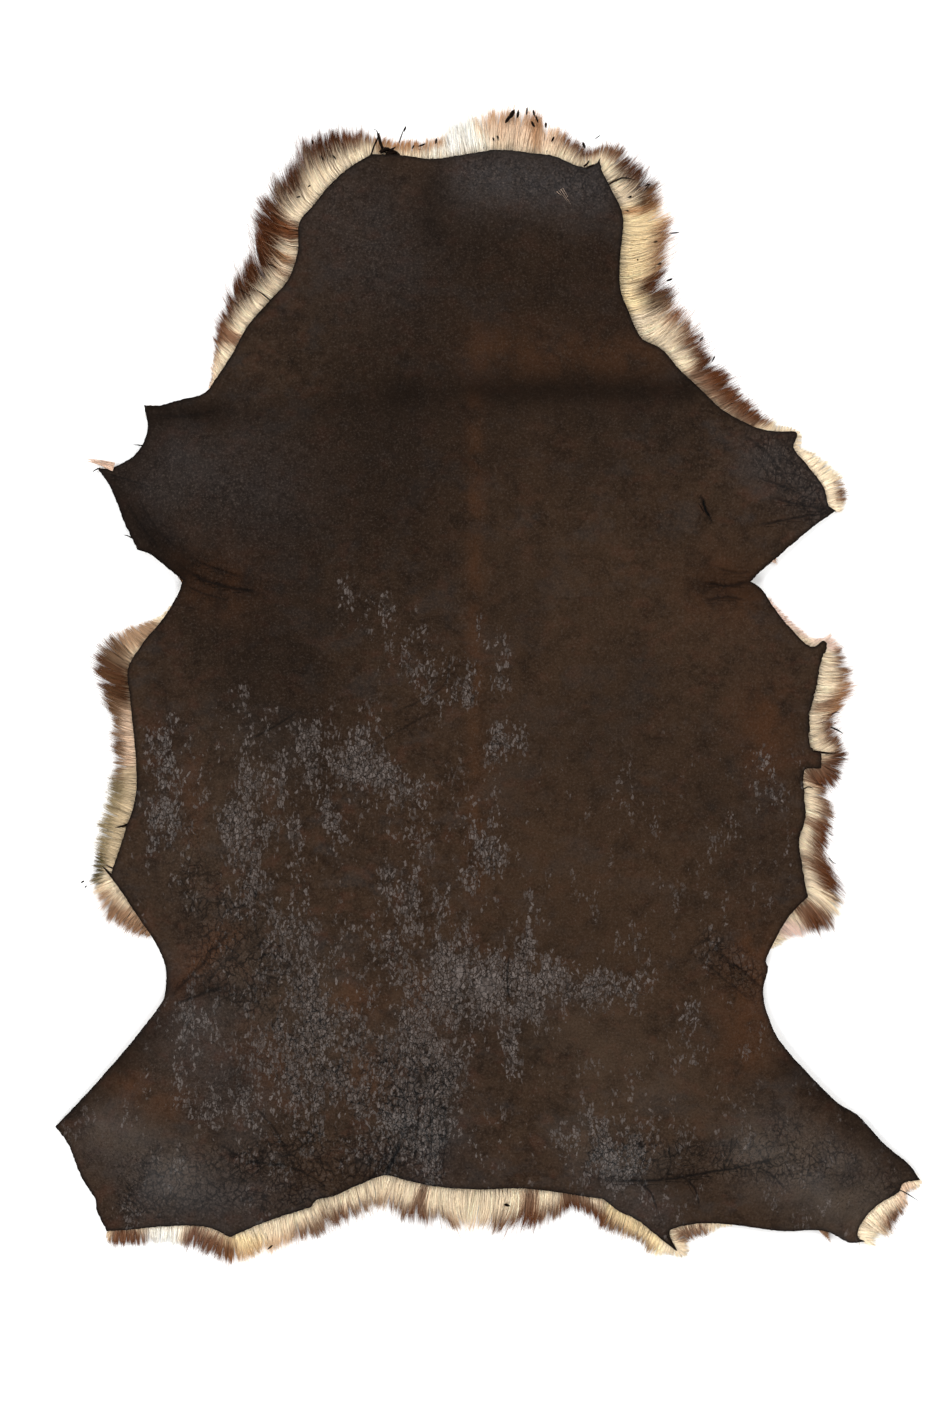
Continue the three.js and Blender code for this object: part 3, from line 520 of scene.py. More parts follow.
# Bits of bark and skin caught in the hair, each turned by so many degrees.
BITS = table("x y turn length width", [
    [-176, 543, 100, 4, 1.4], [-166, 527, 120, 5, 1.4], [-154, 528, 130, 5, 1.2], [-179, 499, 30, 3, 1.2],
    [-190, 488, 10, 4, 1.2], [6, 545, 120, 5, 1.8], [10, 547, 110, 5, 1.6], [24, 571, 60, 9, 3.4],
    [20, 566, 55, 8, 2.6], [30, 571, 80, 7, 2], [39, 574, 85, 7, 1.4], [46, 572, 100, 6, 1.6],
    [49, 566, 110, 7, 1.6], [45, 561, 120, 6, 2], [58, 560, 90, 5, 1.8], [65, 546, 60, 5, 1.8],
    [96, 540, 110, 6, 2], [110, 548, 35, 7, 0.9], [142, 488, 20, 4, 1.6], [144, 405, 10, 3, 1.4],
    [182, 405, 20, 6, 1.6], [187, 452, 5, 9, 1.2], [214, 346, 40, 5, 1.2], [226, 326, 60, 6, 1.2],
    [-52, 544, 80, 5, 1.8], [-83, 556, 70, 5, 1.2], [-66, 540, 20, 7, 1.4], [-75, 538, 60, 4, 1.2],
    [19, -522, 160, 5, 2.2], [-218, -564, 40, 6, 1.4], [168, 443, 10, 4, 1.2], [172, 421, 20, 4, 1.4],
    [150, 425, 90, 2, 1], [140, 474, 160, 3, 1.1], [-12, 535, 20, 3, 0.9], [-5, 537, 15, 3, 0.9],
    [58, 533, 40, 4, 1], [-406, -198, 30, 4, 1.4], [-403, -203, 50, 3, 1.1], [160, 500, 20, 5, 1.6],
])

# Small tufts of hair away from the rim.
TUFTS = table("place root tip width count shade lift", [
    ["left forefoot", [-375, 218], [-412, 229], 9, 90, "pink", 5],
    ["left armpit", [-302, 104], [-319, 119], 11, 90, "bark", 6],
    ["right hind leg", [333, -540], [346, -565], 12, 120, "tawny", 6],
    ["right foreleg", [284, 128], [292, 119], 10, 60, "pink", 4],
    ["caught on the neck", [72, 494], [83, 477], 9, 6, "pink", 26.5],
])


def eased(value):
    """From 0 to 1 with a soft start and a soft end."""
    value = np.clip(value, 0, 1)
    return value * value * (3 - 2 * value)


def spread_over(values, share):
    """The value at a share of the way along a row's list, whose entries are evenly spread from 0 to 1."""
    if len(values) == 1:
        return share * 0 + values[0]
    return np.interp(share, np.linspace(0, 1, len(values)), values)


def curve_through(points, step):
    """Points about a step apart on the smooth curve through the given ones, with their shares of its run."""
    points = np.array(points, float)
    points = np.vstack([2 * points[0] - points[1], points, 2 * points[-1] - points[-2]])
    share = np.linspace(0, 1, 24, endpoint=False)[:, None]
    parts = []
    for before, start, end, after in zip(points, points[1:], points[2:], points[3:]):
        sides = (start - before, end - start, after - end)
        gap_before, gap, gap_after = (np.linalg.norm(side) ** 0.5 for side in sides)
        leaving = (start - before) / gap_before - (end - before) / (gap_before + gap) + (end - start) / gap
        coming = (end - start) / gap - (after - start) / (gap + gap_after) + (after - end) / gap_after
        parts.append(
            start * (2 * share**3 - 3 * share**2 + 1)
            + leaving * gap * (share**3 - 2 * share**2 + share)
            + end * (3 * share**2 - 2 * share**3)
            + coming * gap * (share**3 - share**2)
        )
    path = np.vstack([*parts, points[-2]])
    run = np.concatenate([[0], np.cumsum(np.linalg.norm(np.diff(path, axis=0), axis=1))])
    marks = np.linspace(0, run[-1], max(1, round(run[-1] / step)) + 1)
    return np.stack([np.interp(marks, run, path[:, axis]) for axis in (0, 1)], axis=1), marks / run[-1]


def smoothed_round(values, width):
    """A closed ring of values, each averaged with its neighbours to both sides."""
    total = values * 0.0
    for shift in range(-width, width + 1):
        total = total + np.roll(values, shift, axis=0)
    return total / (2 * width + 1)


def edge_ring():
    """The skin's edge as one closed ring of samples, with each one's directions and its rows' values."""
    columns = {name: [] for name in ("x", "y", "height", "reach", "lean", "curl", "ragged", "row")}
    for index, row in enumerate(EDGE):
        following = EDGE[(index + 1) % len(EDGE)]["points"][0]
        path, share = curve_through([*row["points"], following], EDGE_STEP)
        path, share = path[:-1], share[:-1]
        columns["x"].append(path[:, 0])
        columns["y"].append(path[:, 1])
        for name in ("height", "reach", "lean", "curl"):
            columns[name].append(spread_over(row[name], share))
        columns["ragged"].append(share * 0 + row["ragged"])
        columns["row"].append(share * 0 + index)
    ring = {name: np.concatenate(values) for name, values in columns.items()}
    place = np.stack([ring["x"], ring["y"]], axis=1)
    run = np.roll(place, -1, axis=0) - np.roll(place, 1, axis=0)
    run /= np.linalg.norm(run, axis=1)[:, None]
    out = np.stack([-run[:, 1], run[:, 0]], axis=1)
    wide = smoothed_round(out, 6)
    ring["hair_out"] = wide / np.linalg.norm(wide, axis=1)[:, None]
    ring["hair_run"] = np.stack([ring["hair_out"][:, 1], -ring["hair_out"][:, 0]], axis=1)
    for name in ("height", "reach", "lean", "curl"):
        ring[name] = smoothed_round(ring[name], 2)
    slant = (ring["lean"] + ring["curl"])[:, None]
    ring["tips"] = place + (ring["hair_out"] + ring["hair_run"] * slant) * ring["reach"][:, None]
    gap = np.linalg.norm(np.roll(ring["tips"], -1, axis=0) - ring["tips"], axis=1)
    ring["share"] = 0.4 + 0.6 * np.minimum(gap / EDGE_STEP, 3)
    chance = np.random.default_rng(11)
    stray = chance.uniform(-1, 1, len(place))
    stray = 0.6 * stray + 0.9 * smoothed_round(chance.uniform(-1, 1, len(place)), 2)
    ring["plain_place"] = place
    ring["place"] = place + out * (stray * ring["ragged"])[:, None]
    return ring


edge = edge_ring()
edge_tree = KDTree(len(edge["place"]))
for number, (x, y) in enumerate(edge["plain_place"]):
    edge_tree.insert((x, y, 0), number)
edge_tree.balance()


def nearest_edge(points):
    """The nearest edge sample to each point, and how far off it is."""
    found = [edge_tree.find((x, y, 0)) for x, y in points]
    return np.array([item[1] for item in found]), np.array([item[2] for item in found])


def is_inside(outline, points):
    """Whether each point lies inside an outline."""
    inside = np.zeros(len(points), bool)
    x, y = points[:, 0], points[:, 1]
    for (ax, ay), (bx, by) in zip(outline, np.roll(outline, -1, axis=0)):
        if ay != by:
            inside ^= ((ay > y) != (by > y)) & (x < ax + (y - ay) / (by - ay) * (bx - ax))
    return inside


def lattice_inside(outline, step, margin):
    """Evenly spaced points in a triangle pattern inside an outline, none nearer to it than the margin."""
    low, high = outline.min(0), outline.max(0)
    rows = np.arange(low[1], high[1], step * math.sqrt(0.75))
    ends = np.roll(outline, -1, axis=0)
    found = []
    for number, y in enumerate(rows):
        over = (outline[:, 1] > y) != (ends[:, 1] > y)
        start, end = outline[over], ends[over]
        part = (y - start[:, 1]) / (end[:, 1] - start[:, 1])
        crossings = np.sort(start[:, 0] + part * (end[:, 0] - start[:, 0]))
        x = np.arange(low[0] + step / 2 * (number % 2), high[0], step)
        within = np.searchsorted(crossings, x) % 2 == 1
        found.append(np.stack([x[within], np.full(within.sum(), y)], axis=1))
    found = np.vstack(found)
    tree = KDTree(len(outline))
    for number, (x, y) in enumerate(outline):
        tree.insert((x, y, 0), number)
    tree.balance()
    clear = np.array([tree.find((x, y, 0))[2] > margin for x, y in found])
    return found[clear]


def filled(outline, inner):
    """Points and upward triangles that fill an outline with its inner points, the outline's points first."""
    points = np.vstack([outline, inner])
    loop = list(range(len(outline)))
    result = delaunay_2d_cdt([Vector(point) for point in points], [], [loop], 1, 1e-6, True)
    placed = np.array([tuple(point) for point in result[0]])
    triangles = np.array(result[2])
    # A triangle with an inner point lies inside. The others may bridge a bay of the outline.
    bridging = np.flatnonzero((triangles < len(outline)).all(1))
    outside = ~is_inside(outline, placed[triangles[bridging]].mean(1))
    triangles = np.delete(triangles, bridging[outside], axis=0)
    a, b, c = (placed[triangles[:, corner]] for corner in range(3))
    (ab_x, ab_y), (ac_x, ac_y) = (b - a).T, (c - a).T
    turned = ab_x * ac_y - ab_y * ac_x < 0
    triangles[turned] = triangles[turned][:, ::-1]
    return placed, triangles


def wall(upper, lower):
    """Triangles between two closed rings of points, which are given by their numbers."""
    upper_next, lower_next = np.roll(upper, -1), np.roll(lower, -1)
    return np.vstack([
        np.stack([upper, upper_next, lower], axis=1),
        np.stack([upper_next, lower_next, lower], axis=1),
    ])


class Field:
    """Values on a square net over the hide, smoothed a little and read anywhere between its points."""

    def __init__(self, work_out):
        self.low = edge["plain_place"].min(0) - FIELD_MARGIN
        size = edge["plain_place"].max(0) + FIELD_MARGIN - self.low
        self.shape = tuple((size / FIELD_STEP).astype(int) + 2)
        x, y = np.meshgrid(*(np.arange(count) * FIELD_STEP for count in self.shape), indexing="ij")
        values = work_out(np.stack([x.ravel(), y.ravel()], axis=1) + self.low).reshape(self.shape)
        for _ in range(FIELD_BLUR):
            for axis in (0, 1):
                padded = np.concatenate([values.take([0], axis), values, values.take([-1], axis)], axis)
                before, after = (padded.take(range(k, k + values.shape[axis]), axis) for k in (0, 2))
                values = (before + 2 * values + after) / 4
        self.values = values

    def __call__(self, points):
        place = np.clip((points - self.low) / FIELD_STEP, 0, np.array(self.shape) - 1.001)
        whole = place.astype(int)
        part = place - whole
        part = part * part * (3 - 2 * part) * 0.5 + part * 0.5
        i, j = whole.T
        u, v = part.T
        near = self.values[i, j] * (1 - u) + self.values[i + 1, j] * u
        far = self.values[i, j + 1] * (1 - u) + self.values[i + 1, j + 1] * u
        return near * (1 - v) + far * v


def from_line(points, start, end):
    """Each point's distance from the straight line between two ends."""
    start, run = np.array(start, float), np.array(end, float) - start
    share = np.clip((points - start) @ run / max(run @ run, 1e-9), 0, 1)
    return np.linalg.norm(points - start - share[:, None] * run, axis=1)


def bow_level(points):
    """The face's height without its folds: the rim's own, rising to the back's."""
    nearest, distance = nearest_edge(points)
    distance = np.where(is_inside(edge["plain_place"], points), distance, 0)
    rim = edge["height"][nearest]
    return rim + (BACK_HEIGHT - rim) * eased(distance / BOW_WIDTH)


def bow_lift(points):
    """0 at the edge and past it, 1 where the face has risen to the back's height."""
    distance = nearest_edge(points)[1] * is_inside(edge["plain_place"], points)
    return eased(distance / BOW_WIDTH)


level_field = Field(bow_level)
lift_field = Field(bow_lift)


def face_height(points):
    """Height of the skin's face."""
    level = level_field(points)
    relief = points[:, 0] * 0
    for swell in SWELLS:
        share = points[:, 0] / swell["across"] + points[:, 1] / swell["along"]
        turn = 2 * math.pi * share + swell["shift"]
        relief += swell["rise"] * np.sin(turn)
    for fold in FOLDS:
        distance = from_line(points, fold["start"], fold["end"])
        relief += fold["rise"] * np.exp(-((distance / fold["spread"]) ** 2))
    height = level + relief * (0.3 + 0.7 * lift_field(points))
    return np.maximum(height, np.maximum(level * 0.55, LEATHER + 2))


def patch_amount(points, rows):
    """How strong a table's soft patches are together at each point."""
    total = points[:, 0] * 0
    for row in rows:
        distance = from_line(points, row["start"], row["end"])
        total += row["amount"] * np.exp(-((distance / row["spread"]) ** 2))
    return total


def crease_values(points):
    """How far each point lies to the side of its nearest crease, in half widths, and how deep that is."""
    across = np.full(len(points), CREASE_REACH)
    width = np.ones(len(points))
    depth = np.zeros(len(points))
    for row in CREASES:
        path, share = curve_through(row["points"], 4)
        near = ((points > path.min(0) - CREASE_REACH) & (points < path.max(0) + CREASE_REACH)).all(1)
        near = np.flatnonzero(near)
        for start, end, at in zip(path, path[1:], (share[1:] + share[:-1]) / 2):
            run, off = end - start, points[near] - start
            part = np.clip(off @ run / (run @ run), 0, 1)
            gap = np.linalg.norm(off - part[:, None] * run, axis=1)
            side = np.where(run[0] * off[:, 1] - run[1] * off[:, 0] < 0, -1, 1)
            closer = gap < np.abs(across[near])
            across[near[closer]] = (gap * side)[closer]
            width[near[closer]] = row["width"]
            depth[near[closer]] = row["amount"] * min(1, 7 * at * (1 - at))
    fading = (np.abs(across) - CREASE_FADE) / (CREASE_REACH - CREASE_FADE)
    return across / width, depth * (1 - eased(fading))


def linear(shade):
    """A colour as seen, from 0 to 255, as the light's own amounts from 0 to 1."""
    return tuple((np.array(shade) / 255.0) ** 2.2)


def banded(distance, row):
    """How much of a marking's shade a point has at its distance from the marking's line."""
    return row["amount"] * (1 - eased((distance / row["width"] - 0.55) / 0.75))


def tinted(colours, share, row):
    """The colours with a share of the row's shade, warmer where pale hair is only half dyed."""
    share = share[..., None]
    change = np.array(linear(SHADES[row["shade"]])) - colours
    return (colours + share * change) * (1 - share * (1 - share) * HALF_DYED * np.clip(-change, 0, 1))


def fleece_colours(points):
    """The fleece's colour at each point, from its markings."""
    colours = np.tile(linear(SHADES["cream"]), (len(points), 1))
    for row in MARKINGS:
        colours = tinted(colours, banded(from_line(points, row["start"], row["end"]), row), row)
    return colours


def hair_colours(chance, lines, ends, progress):
    """The colours along hairs on the given lines, with where hairs of the full reach end there.

    Progress is each ring's share of that reach. A marking that a hair has met carries on along it.
    """
    count, rings = lines.shape[:2]
    colours = np.tile(linear(SHADES["cream"]), (count, rings, 1))
    for row in MARKINGS:
        distance = from_line(lines.reshape(-1, 2), row["start"], row["end"]).reshape(count, rings)
        colours = tinted(colours, np.maximum.accumulate(banded(distance, row), axis=1), row)
    own = chance.normal(0, 0.06, count)[:, None]
    for row in TIPS:
        share = banded(from_line(ends, row["start"], row["end"]), row)[:, None]
        colours = tinted(colours, share * eased((progress - row["begins"] + 0.1 - own) / 0.2), row)
    return colours


hind_tip = min((vertex.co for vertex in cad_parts["hide"].data.vertices), key=lambda place: place.x)
SHIFT = np.array([hind_tip.x / METRE - LEFT_HIND_TIP[0], hind_tip.y / METRE - LEFT_HIND_TIP[1], 0])


def new_piece(name, places, triangles, finish, values=None, colours=None):
    """A smooth mesh in the row's frame that rides on the hide and stands for its solid."""
    mesh = bpy.data.meshes.new(name)
    places = np.asarray(places, float) + SHIFT
    triangles = np.asarray(triangles)
    mesh.vertices.add(len(places))
    mesh.vertices.foreach_set("co", (places * METRE).ravel())
    mesh.loops.add(triangles.size)
    mesh.loops.foreach_set("vertex_index", triangles.ravel())
    mesh.polygons.add(len(triangles))
    mesh.polygons.foreach_set("loop_start", np.arange(0, triangles.size, 3))
    mesh.update(calc_edges=True)
    mesh.shade_smooth()
    for key, amounts in (values or {}).items():
        mesh.attributes.new(key, "FLOAT", "POINT").data.foreach_set("value", amounts.astype(np.float32))
    if colours is not None:
        full = np.concatenate([colours, np.ones((len(colours), 1))], axis=1)
        layer = mesh.color_attributes.new("shade", "FLOAT_COLOR", "POINT")
        layer.data.foreach_set("color", full.ravel().astype(np.float32))
    mesh.materials.append(finish)
    piece = bpy.data.objects.new(name, mesh)
    bpy.context.scene.collection.objects.link(piece)
    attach(piece, "root")
    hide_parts("hide")
    return piece


class Amount:
    """A number that changes over a surface. Sums on it add the finish's Math nodes."""

    def __init__(self, finish, socket):
        self.finish = finish
        self.socket = socket

    def maths(self, operation, *values):
        return self.finish.node("ShaderNodeMath", {"operation": operation}, dict(enumerate(values)))

    def __add__(self, other):
        return self.maths("ADD", self, other)

    __radd__ = __add__

    def __sub__(self, other):
        return self.maths("SUBTRACT", self, other)

    def __rsub__(self, other):
        return self.maths("SUBTRACT", other, self)

    def __mul__(self, other):
        return self.maths("MULTIPLY", self, other)

    __rmul__ = __mul__

    def size(self):
        return self.maths("ABSOLUTE", self)

    def step(self, low, high):
        """From 0 at low to 1 at high, softly."""
        settings = {"interpolation_type": "SMOOTHSTEP"}
        inputs = {"Value": self, "From Min": low, "From Max": high}
        return self.finish.node("ShaderNodeMapRange", settings, inputs)


class Finish:
    """A material of nodes around one Principled shader."""

    def __init__(self, name):
        self.material = bpy.data.materials.new(name)
        self.material.use_nodes = True
        self.shader = self.material.node_tree.nodes["Principled BSDF"]

    def put(self, socket, value):
        if isinstance(value, Amount):
            self.material.node_tree.links.new(value.socket, socket)
        else:
            socket.default_value = value

    def node(self, kind, settings=(), inputs=(), output=0):
        node = self.material.node_tree.nodes.new(kind)
        for name, value in dict(settings).items():
            setattr(node, name, value)
        for name, value in dict(inputs).items():
            chosen = [socket for socket in node.inputs if name in (socket.identifier, socket.name)]
            self.put(node.inputs[name] if isinstance(name, int) else chosen[0], value)
        return Amount(self, node.outputs[output])

    def set(self, **inputs):
        for name, value in inputs.items():
            self.put(self.shader.inputs[name.replace("_", " ")], value)

    def place(self):
        return self.node("ShaderNodeTexCoord", output="Object")

    def vector(self, operation, first, second):
        return self.node("ShaderNodeVectorMath", {"operation": operation}, {0: first, 1: second})

    def stretched(self, place, by):
        return self.vector("MULTIPLY", place, by)

    def warped(self, place, scale, size):
        """The place, pushed about by up to a size in metres in swirls of the given scale."""
        swirl = self.node("ShaderNodeTexNoise", {}, {"Vector": place, "Scale": scale, "Detail": 2}, "Color")
        centred = self.vector("SUBTRACT", swirl, (0.5, 0.5, 0.5))
        pushed = self.vector("MULTIPLY", centred, (size, size, size))
        return self.vector("ADD", place, pushed)

    def noise(self, place, scale, detail, roughness):
        inputs = {"Vector": place, "Scale": scale, "Detail": detail, "Roughness": roughness}
        return self.node("ShaderNodeTexNoise", {}, inputs)

    def cracks(self, place, scale):
        """0 on the lines between cells of the given scale, more towards their middles."""
        inputs = {"Vector": place, "Scale": scale, "Randomness": 1.0}
        return self.node("ShaderNodeTexVoronoi", {"feature": "DISTANCE_TO_EDGE"}, inputs, "Distance")

    def chips(self, place, scale):
        """In small cells of the given scale: how far in a point lies, and the cell's two chance values."""
        inputs = {"Vector": place, "Scale": scale, "Randomness": 1.0}
        chance = self.node("ShaderNodeTexVoronoi", {}, inputs, "Color")
        split = [self.node("ShaderNodeSeparateColor", (), {"Color": chance}, part) for part in (0, 1)]
        return self.cracks(place, scale), *split

    def amount(self, name):
        return self.node("ShaderNodeAttribute", {"attribute_name": name}, output="Fac")

    def colour(self, name):
        return self.node("ShaderNodeAttribute", {"attribute_name": name}, output="Color")

    def blend(self, share, first, second):
        """From the first colour to the second by a share from 0 to 1. A colour is given as it looks."""
        first, second = (
            value if isinstance(value, Amount) else (*linear(value), 1) for value in (first, second)
        )
        inputs = {"Factor_Float": share, "A_Color": first, "B_Color": second}
        return self.node("ShaderNodeMix", {"data_type": "RGBA"}, inputs, 2)

    def covered(self, colour, layers):
        """The colour under layers of other ones, each with its share from 0 to 1."""
        for share, shade in layers:
            colour = self.blend(share, colour, shade)
        return colour

    def bump(self, height, strength, distance):
        inputs = {"Height": height, "Strength": strength, "Distance": distance}
        return self.node("ShaderNodeBump", {}, inputs)


def leather_finish():
    """Dark tanned leather: worn and clouded, finely wrinkled, with cracked glaze, painted shade in its
    creases and troughs, and painted sheen on its grey bloom.
    """
    finish = Finish("dark tanned leather")
    place = finish.place()
    loose = finish.warped(place, 70, 0.006)
    upright = finish.stretched(finish.warped(loose, 190, 0.003), (1, 0.45, 1))
    twisted = finish.warped(finish.warped(place, 30, 0.02), 120, 0.007)
    deep, bloom_and_painted_sheen, warm, pale, rust, dark, wrinkles = (finish.amount(tint) for tint in TINTS)
    glaze, rim, across, crease = (finish.amount(name) for name in ("glaze", "rim", "across", "crease"))
    broad = finish.noise(place, 11, 4, 0.6)
    bands = finish.noise(finish.stretched(place, (1, 0.16, 1)), 26, 4, 0.65)
    cloud = finish.noise(finish.warped(place, 20, 0.03), 34, 4, 0.6)
    mottle = finish.noise(loose, 120, 4, 0.75)
    grain = finish.noise(place, 480, 3, 0.75)
    patch = finish.noise(upright, 48, 4, 0.7)
    tone = finish.noise(finish.stretched(place, (1, 1.5, 1)), 21, 3, 0.6)
    second_tone = finish.noise(finish.stretched(place, (1.2, 1.7, 1)), 33, 2, 0.6)
    inner, chance, shade_chance = finish.chips(upright, 400)
    net = finish.cracks(finish.stretched(twisted, (1, 0.62, 1)), 155)
    fine_net = finish.cracks(finish.warped(place, 150, 0.005), 130)

    # Fine wrinkles, and the creases with their wavering dark lines and a soft band around them, both painted
    # shade
    worn = (wrinkles + (patch - 0.5) * 0.8).step(0.15, 0.7)
    broken = finish.noise(place, 75, 3, 0.7).step(0.38, 0.56)
    wrinkled = (1 - net.step(0.0, 0.17)) * worn * (0.25 + broken * 0.75)
    plate = net.step(0.1, 0.35) * worn * mottle.step(0.35, 0.65) * broken
    side = (across + (mottle - 0.5) * 3.4 + (cloud - 0.5) * 3).size()
    # Painted shade: a dark core line along each crease and a softer band around it
    crease_core_shade = (1 - side.step(0.25, 1.3)) * crease
    hollow = (1 - side.step(0.3, 2.4)) * crease

    # Glaze that has broken into small upright flecks, dense or sparse
    density = glaze * 0.68 + (patch - 0.5) * 2.2 + (mottle - 0.5) * 0.5
    lit = (density + (chance - 0.5) * 0.6).step(0.42, 0.54) * glaze.step(0.03, 0.22)
    solid = density.step(0.95, 1.25)
    flecks = lit * (inner.step(0.03, 0.15) * (1 - solid) + solid) * (0.45 + grain.step(0.3, 0.65) * 0.55)
    haze = density.step(0.25, 0.8) * glaze.step(0.0, 0.5)
    rough = 0.3 + (worn + haze + bloom_and_painted_sheen) * 0.28

    # Worn brown with the skin's own clouds, then the cooler places (a grey bloom with painted sheen), the
    # paler ones and the rustier ones (with painted highlights on some fold ridges)
    colour = finish.blend(cloud.step(0.33, 0.68), (31, 22, 15), (46, 34, 25))
    colour = finish.covered(colour, [
        (bands.step(0.42, 0.68) * 0.4, (50, 38, 28)),
        (tone.step(0.5, 0.66) * 0.5, (47, 43, 41)),
        (second_tone.step(0.52, 0.7) * 0.45, (62, 40, 30)),
        (mottle.step(0.38, 0.68) * 0.5, (56, 43, 33)),
        ((1 - mottle).step(0.5, 0.7) * 0.25, (24, 17, 12)),
        (broad.step(0.45, 0.7) * 0.45, (31, 25, 20)),
        (warm * cloud.step(0.15, 0.6) * 0.75, (53, 39, 28)),
        (deep * 0.6, (23, 16, 11)),
        # grey bloom with painted sheen
        (bloom_and_painted_sheen * mottle.step(0.15, 0.7) * 0.9, (43, 40, 40)),
        (pale * cloud.step(0.2, 0.65) * 0.8, (66, 55, 45)),
        # rusty brown, with painted highlights on the armpit and left flank fold ridges
        (rust * cloud.step(0.25, 0.65), (66, 41, 24)),
        (haze * 0.5, (45, 39, 35)),
        (plate * 0.35, (60, 53, 49)),
        (grain.step(0.5, 0.74) * rough, (76, 67, 61)),
        ((1 - grain).step(0.5, 0.74) * rough * 1.5, (13, 9, 6)),
    ])

    # The flecks of glaze, then all the dark lines, the painted shade of the dark places and the creases, and
    # the rim
    fleck_colour = finish.blend(shade_chance, (58, 51, 47), (94, 86, 82))
    lines = (1 - fine_net.step(0.0, 0.08)) * haze * 0.75
    colour = finish.covered(colour, [
        (flecks * (0.66 + glaze * 0.3), fleck_colour),
        (lines + wrinkled * 0.78, (12, 8, 6)),
        # the dark places: mostly painted shade in troughs, folds and at down-turned edges
        (dark * 0.75, (17, 12, 8)),
        # painted shade in and around the creases
        (hollow * 0.6 + crease_core_shade * 0.6, (6, 4, 3)),
        (rim, (12, 8, 6)),
    ])

    pores = finish.noise(place, 260, 2, 0.7)
    height = pores * 0.75 - (1 - across.size().step(0.2, 1.9)) * crease * 1.8
    finish.set(
        Base_Color=colour,
        Roughness=0.6 - flecks * 0.12 + dark * 0.1 + grain * 0.12,
        Coat_Weight=(flecks * 0.25 + (bloom_and_painted_sheen + pale) * 0.12) * (1 - dark),
        Normal=finish.bump(height, 0.7, 0.0012),
        Specular_IOR_Level=0.05,
        Coat_Roughness=0.45,
    )
    return finish.material


def torn_finish():
    """The torn edge's raw, nearly black fibres."""
    finish = Finish("torn leather edge")
    fibre = finish.noise(finish.place(), 900, 3, 0.7)
    colour = finish.blend(fibre.step(0.35, 0.7), (10, 7, 5), (34, 23, 16))
    relief = finish.bump(fibre, 0.5, 0.0006)
    finish.set(Base_Color=colour, Roughness=0.8, Normal=relief, Specular_IOR_Level=0.05)
    return finish.material


def hair_finish():
    """Hair in its own shades, faintly streaked."""
    finish = Finish("fleece hair")
    streak = finish.noise(finish.place(), 700, 2, 0.6)
    colour = finish.blend(streak.step(0.4, 0.75) * 0.14, finish.colour("shade"), (124, 88, 56))
    finish.set(Base_Color=colour, Roughness=0.65, Specular_IOR_Level=0.03)
    return finish.material


def fleece_finish():
    """The matted hair that carries the skin, with curls and stains."""
    finish = Finish("pressed fleece")
    place = finish.place()
    curls = finish.noise(finish.warped(place, 40, 0.02), 190, 4, 0.65)
    stain = finish.noise(place, 14, 3, 0.6)
    colour = finish.blend(curls.step(0.4, 0.75) * 0.45, finish.colour("shade"), (150, 116, 82))
    colour = finish.blend(stain.step(0.55, 0.75) * 0.35, colour, (160, 122, 86))
    finish.set(Base_Color=colour, Roughness=0.8, Normal=finish.bump(curls, 0.6, 0.003))
    return finish.material


# Camera: straight down on the hide, framed as in the photograph, whose long side covers 1422 mm of it.
PICTURE_LONG_SIDE = 1.422
PICTURE_CENTRE = (-0.0135, -0.0260)
LENS = 85
SENSOR = 36
EDGE_LEVEL = 0.015
lens = bpy.data.cameras.new("camera")
lens.lens = LENS
lens.sensor_width = SENSOR
camera = bpy.data.objects.new("camera", lens)
camera.location = (*PICTURE_CENTRE, EDGE_LEVEL + PICTURE_LONG_SIDE * LENS / SENSOR)
bpy.context.scene.collection.objects.link(camera)
bpy.context.scene.camera = camera


def skin():
    """The tanned skin: a fine face, a coarser back and a rounded cut edge between them."""
    outline = edge["place"]
    count = len(outline)
    face, face_triangles = filled(outline, lattice_inside(outline, FACE_STEP, FACE_STEP * 0.55))
    back, back_triangles = filled(outline, lattice_inside(outline, BACKING_STEP, BACKING_STEP * 0.55))
    face_z, back_z = face_height(face), face_height(back) - LEATHER
    # The cut edge stands out a little half way down, and the face rolls over to it.
    face_z[:count] -= 0.5
    middle = outline + edge["hair_out"] * 0.35
    places = np.vstack([
        np.column_stack([face, face_z]),
        np.column_stack([middle, face_z[:count] - LEATHER * 0.4]),
        np.column_stack([back, back_z]),
    ])
    ring = np.arange(count)
    top, mid, low = ring, ring + len(face), ring + len(face) + count
    back_triangles = back_triangles[:, ::-1] + len(face) + count
    triangles = np.vstack([face_triangles, wall(top, mid), wall(mid, low), back_triangles])
    flat = places[:, :2]
    distance = nearest_edge(flat)[1]
    across, crease = crease_values(flat)
    values = {
        "glaze": patch_amount(flat, GLAZE) + 0.16 * eased((60 - flat[:, 1]) / 180),
        "rim": 0.75 * np.exp(-((distance / 2.6) ** 2)),
        "across": across,
        "crease": crease,
    }
    for tint, rows in TINTS.items():
        values[tint] = np.minimum(patch_amount(flat, rows), 1)
    values["rim"][len(face):] = 0.6
    return new_piece("skin", places, triangles, leather_finish(), values)


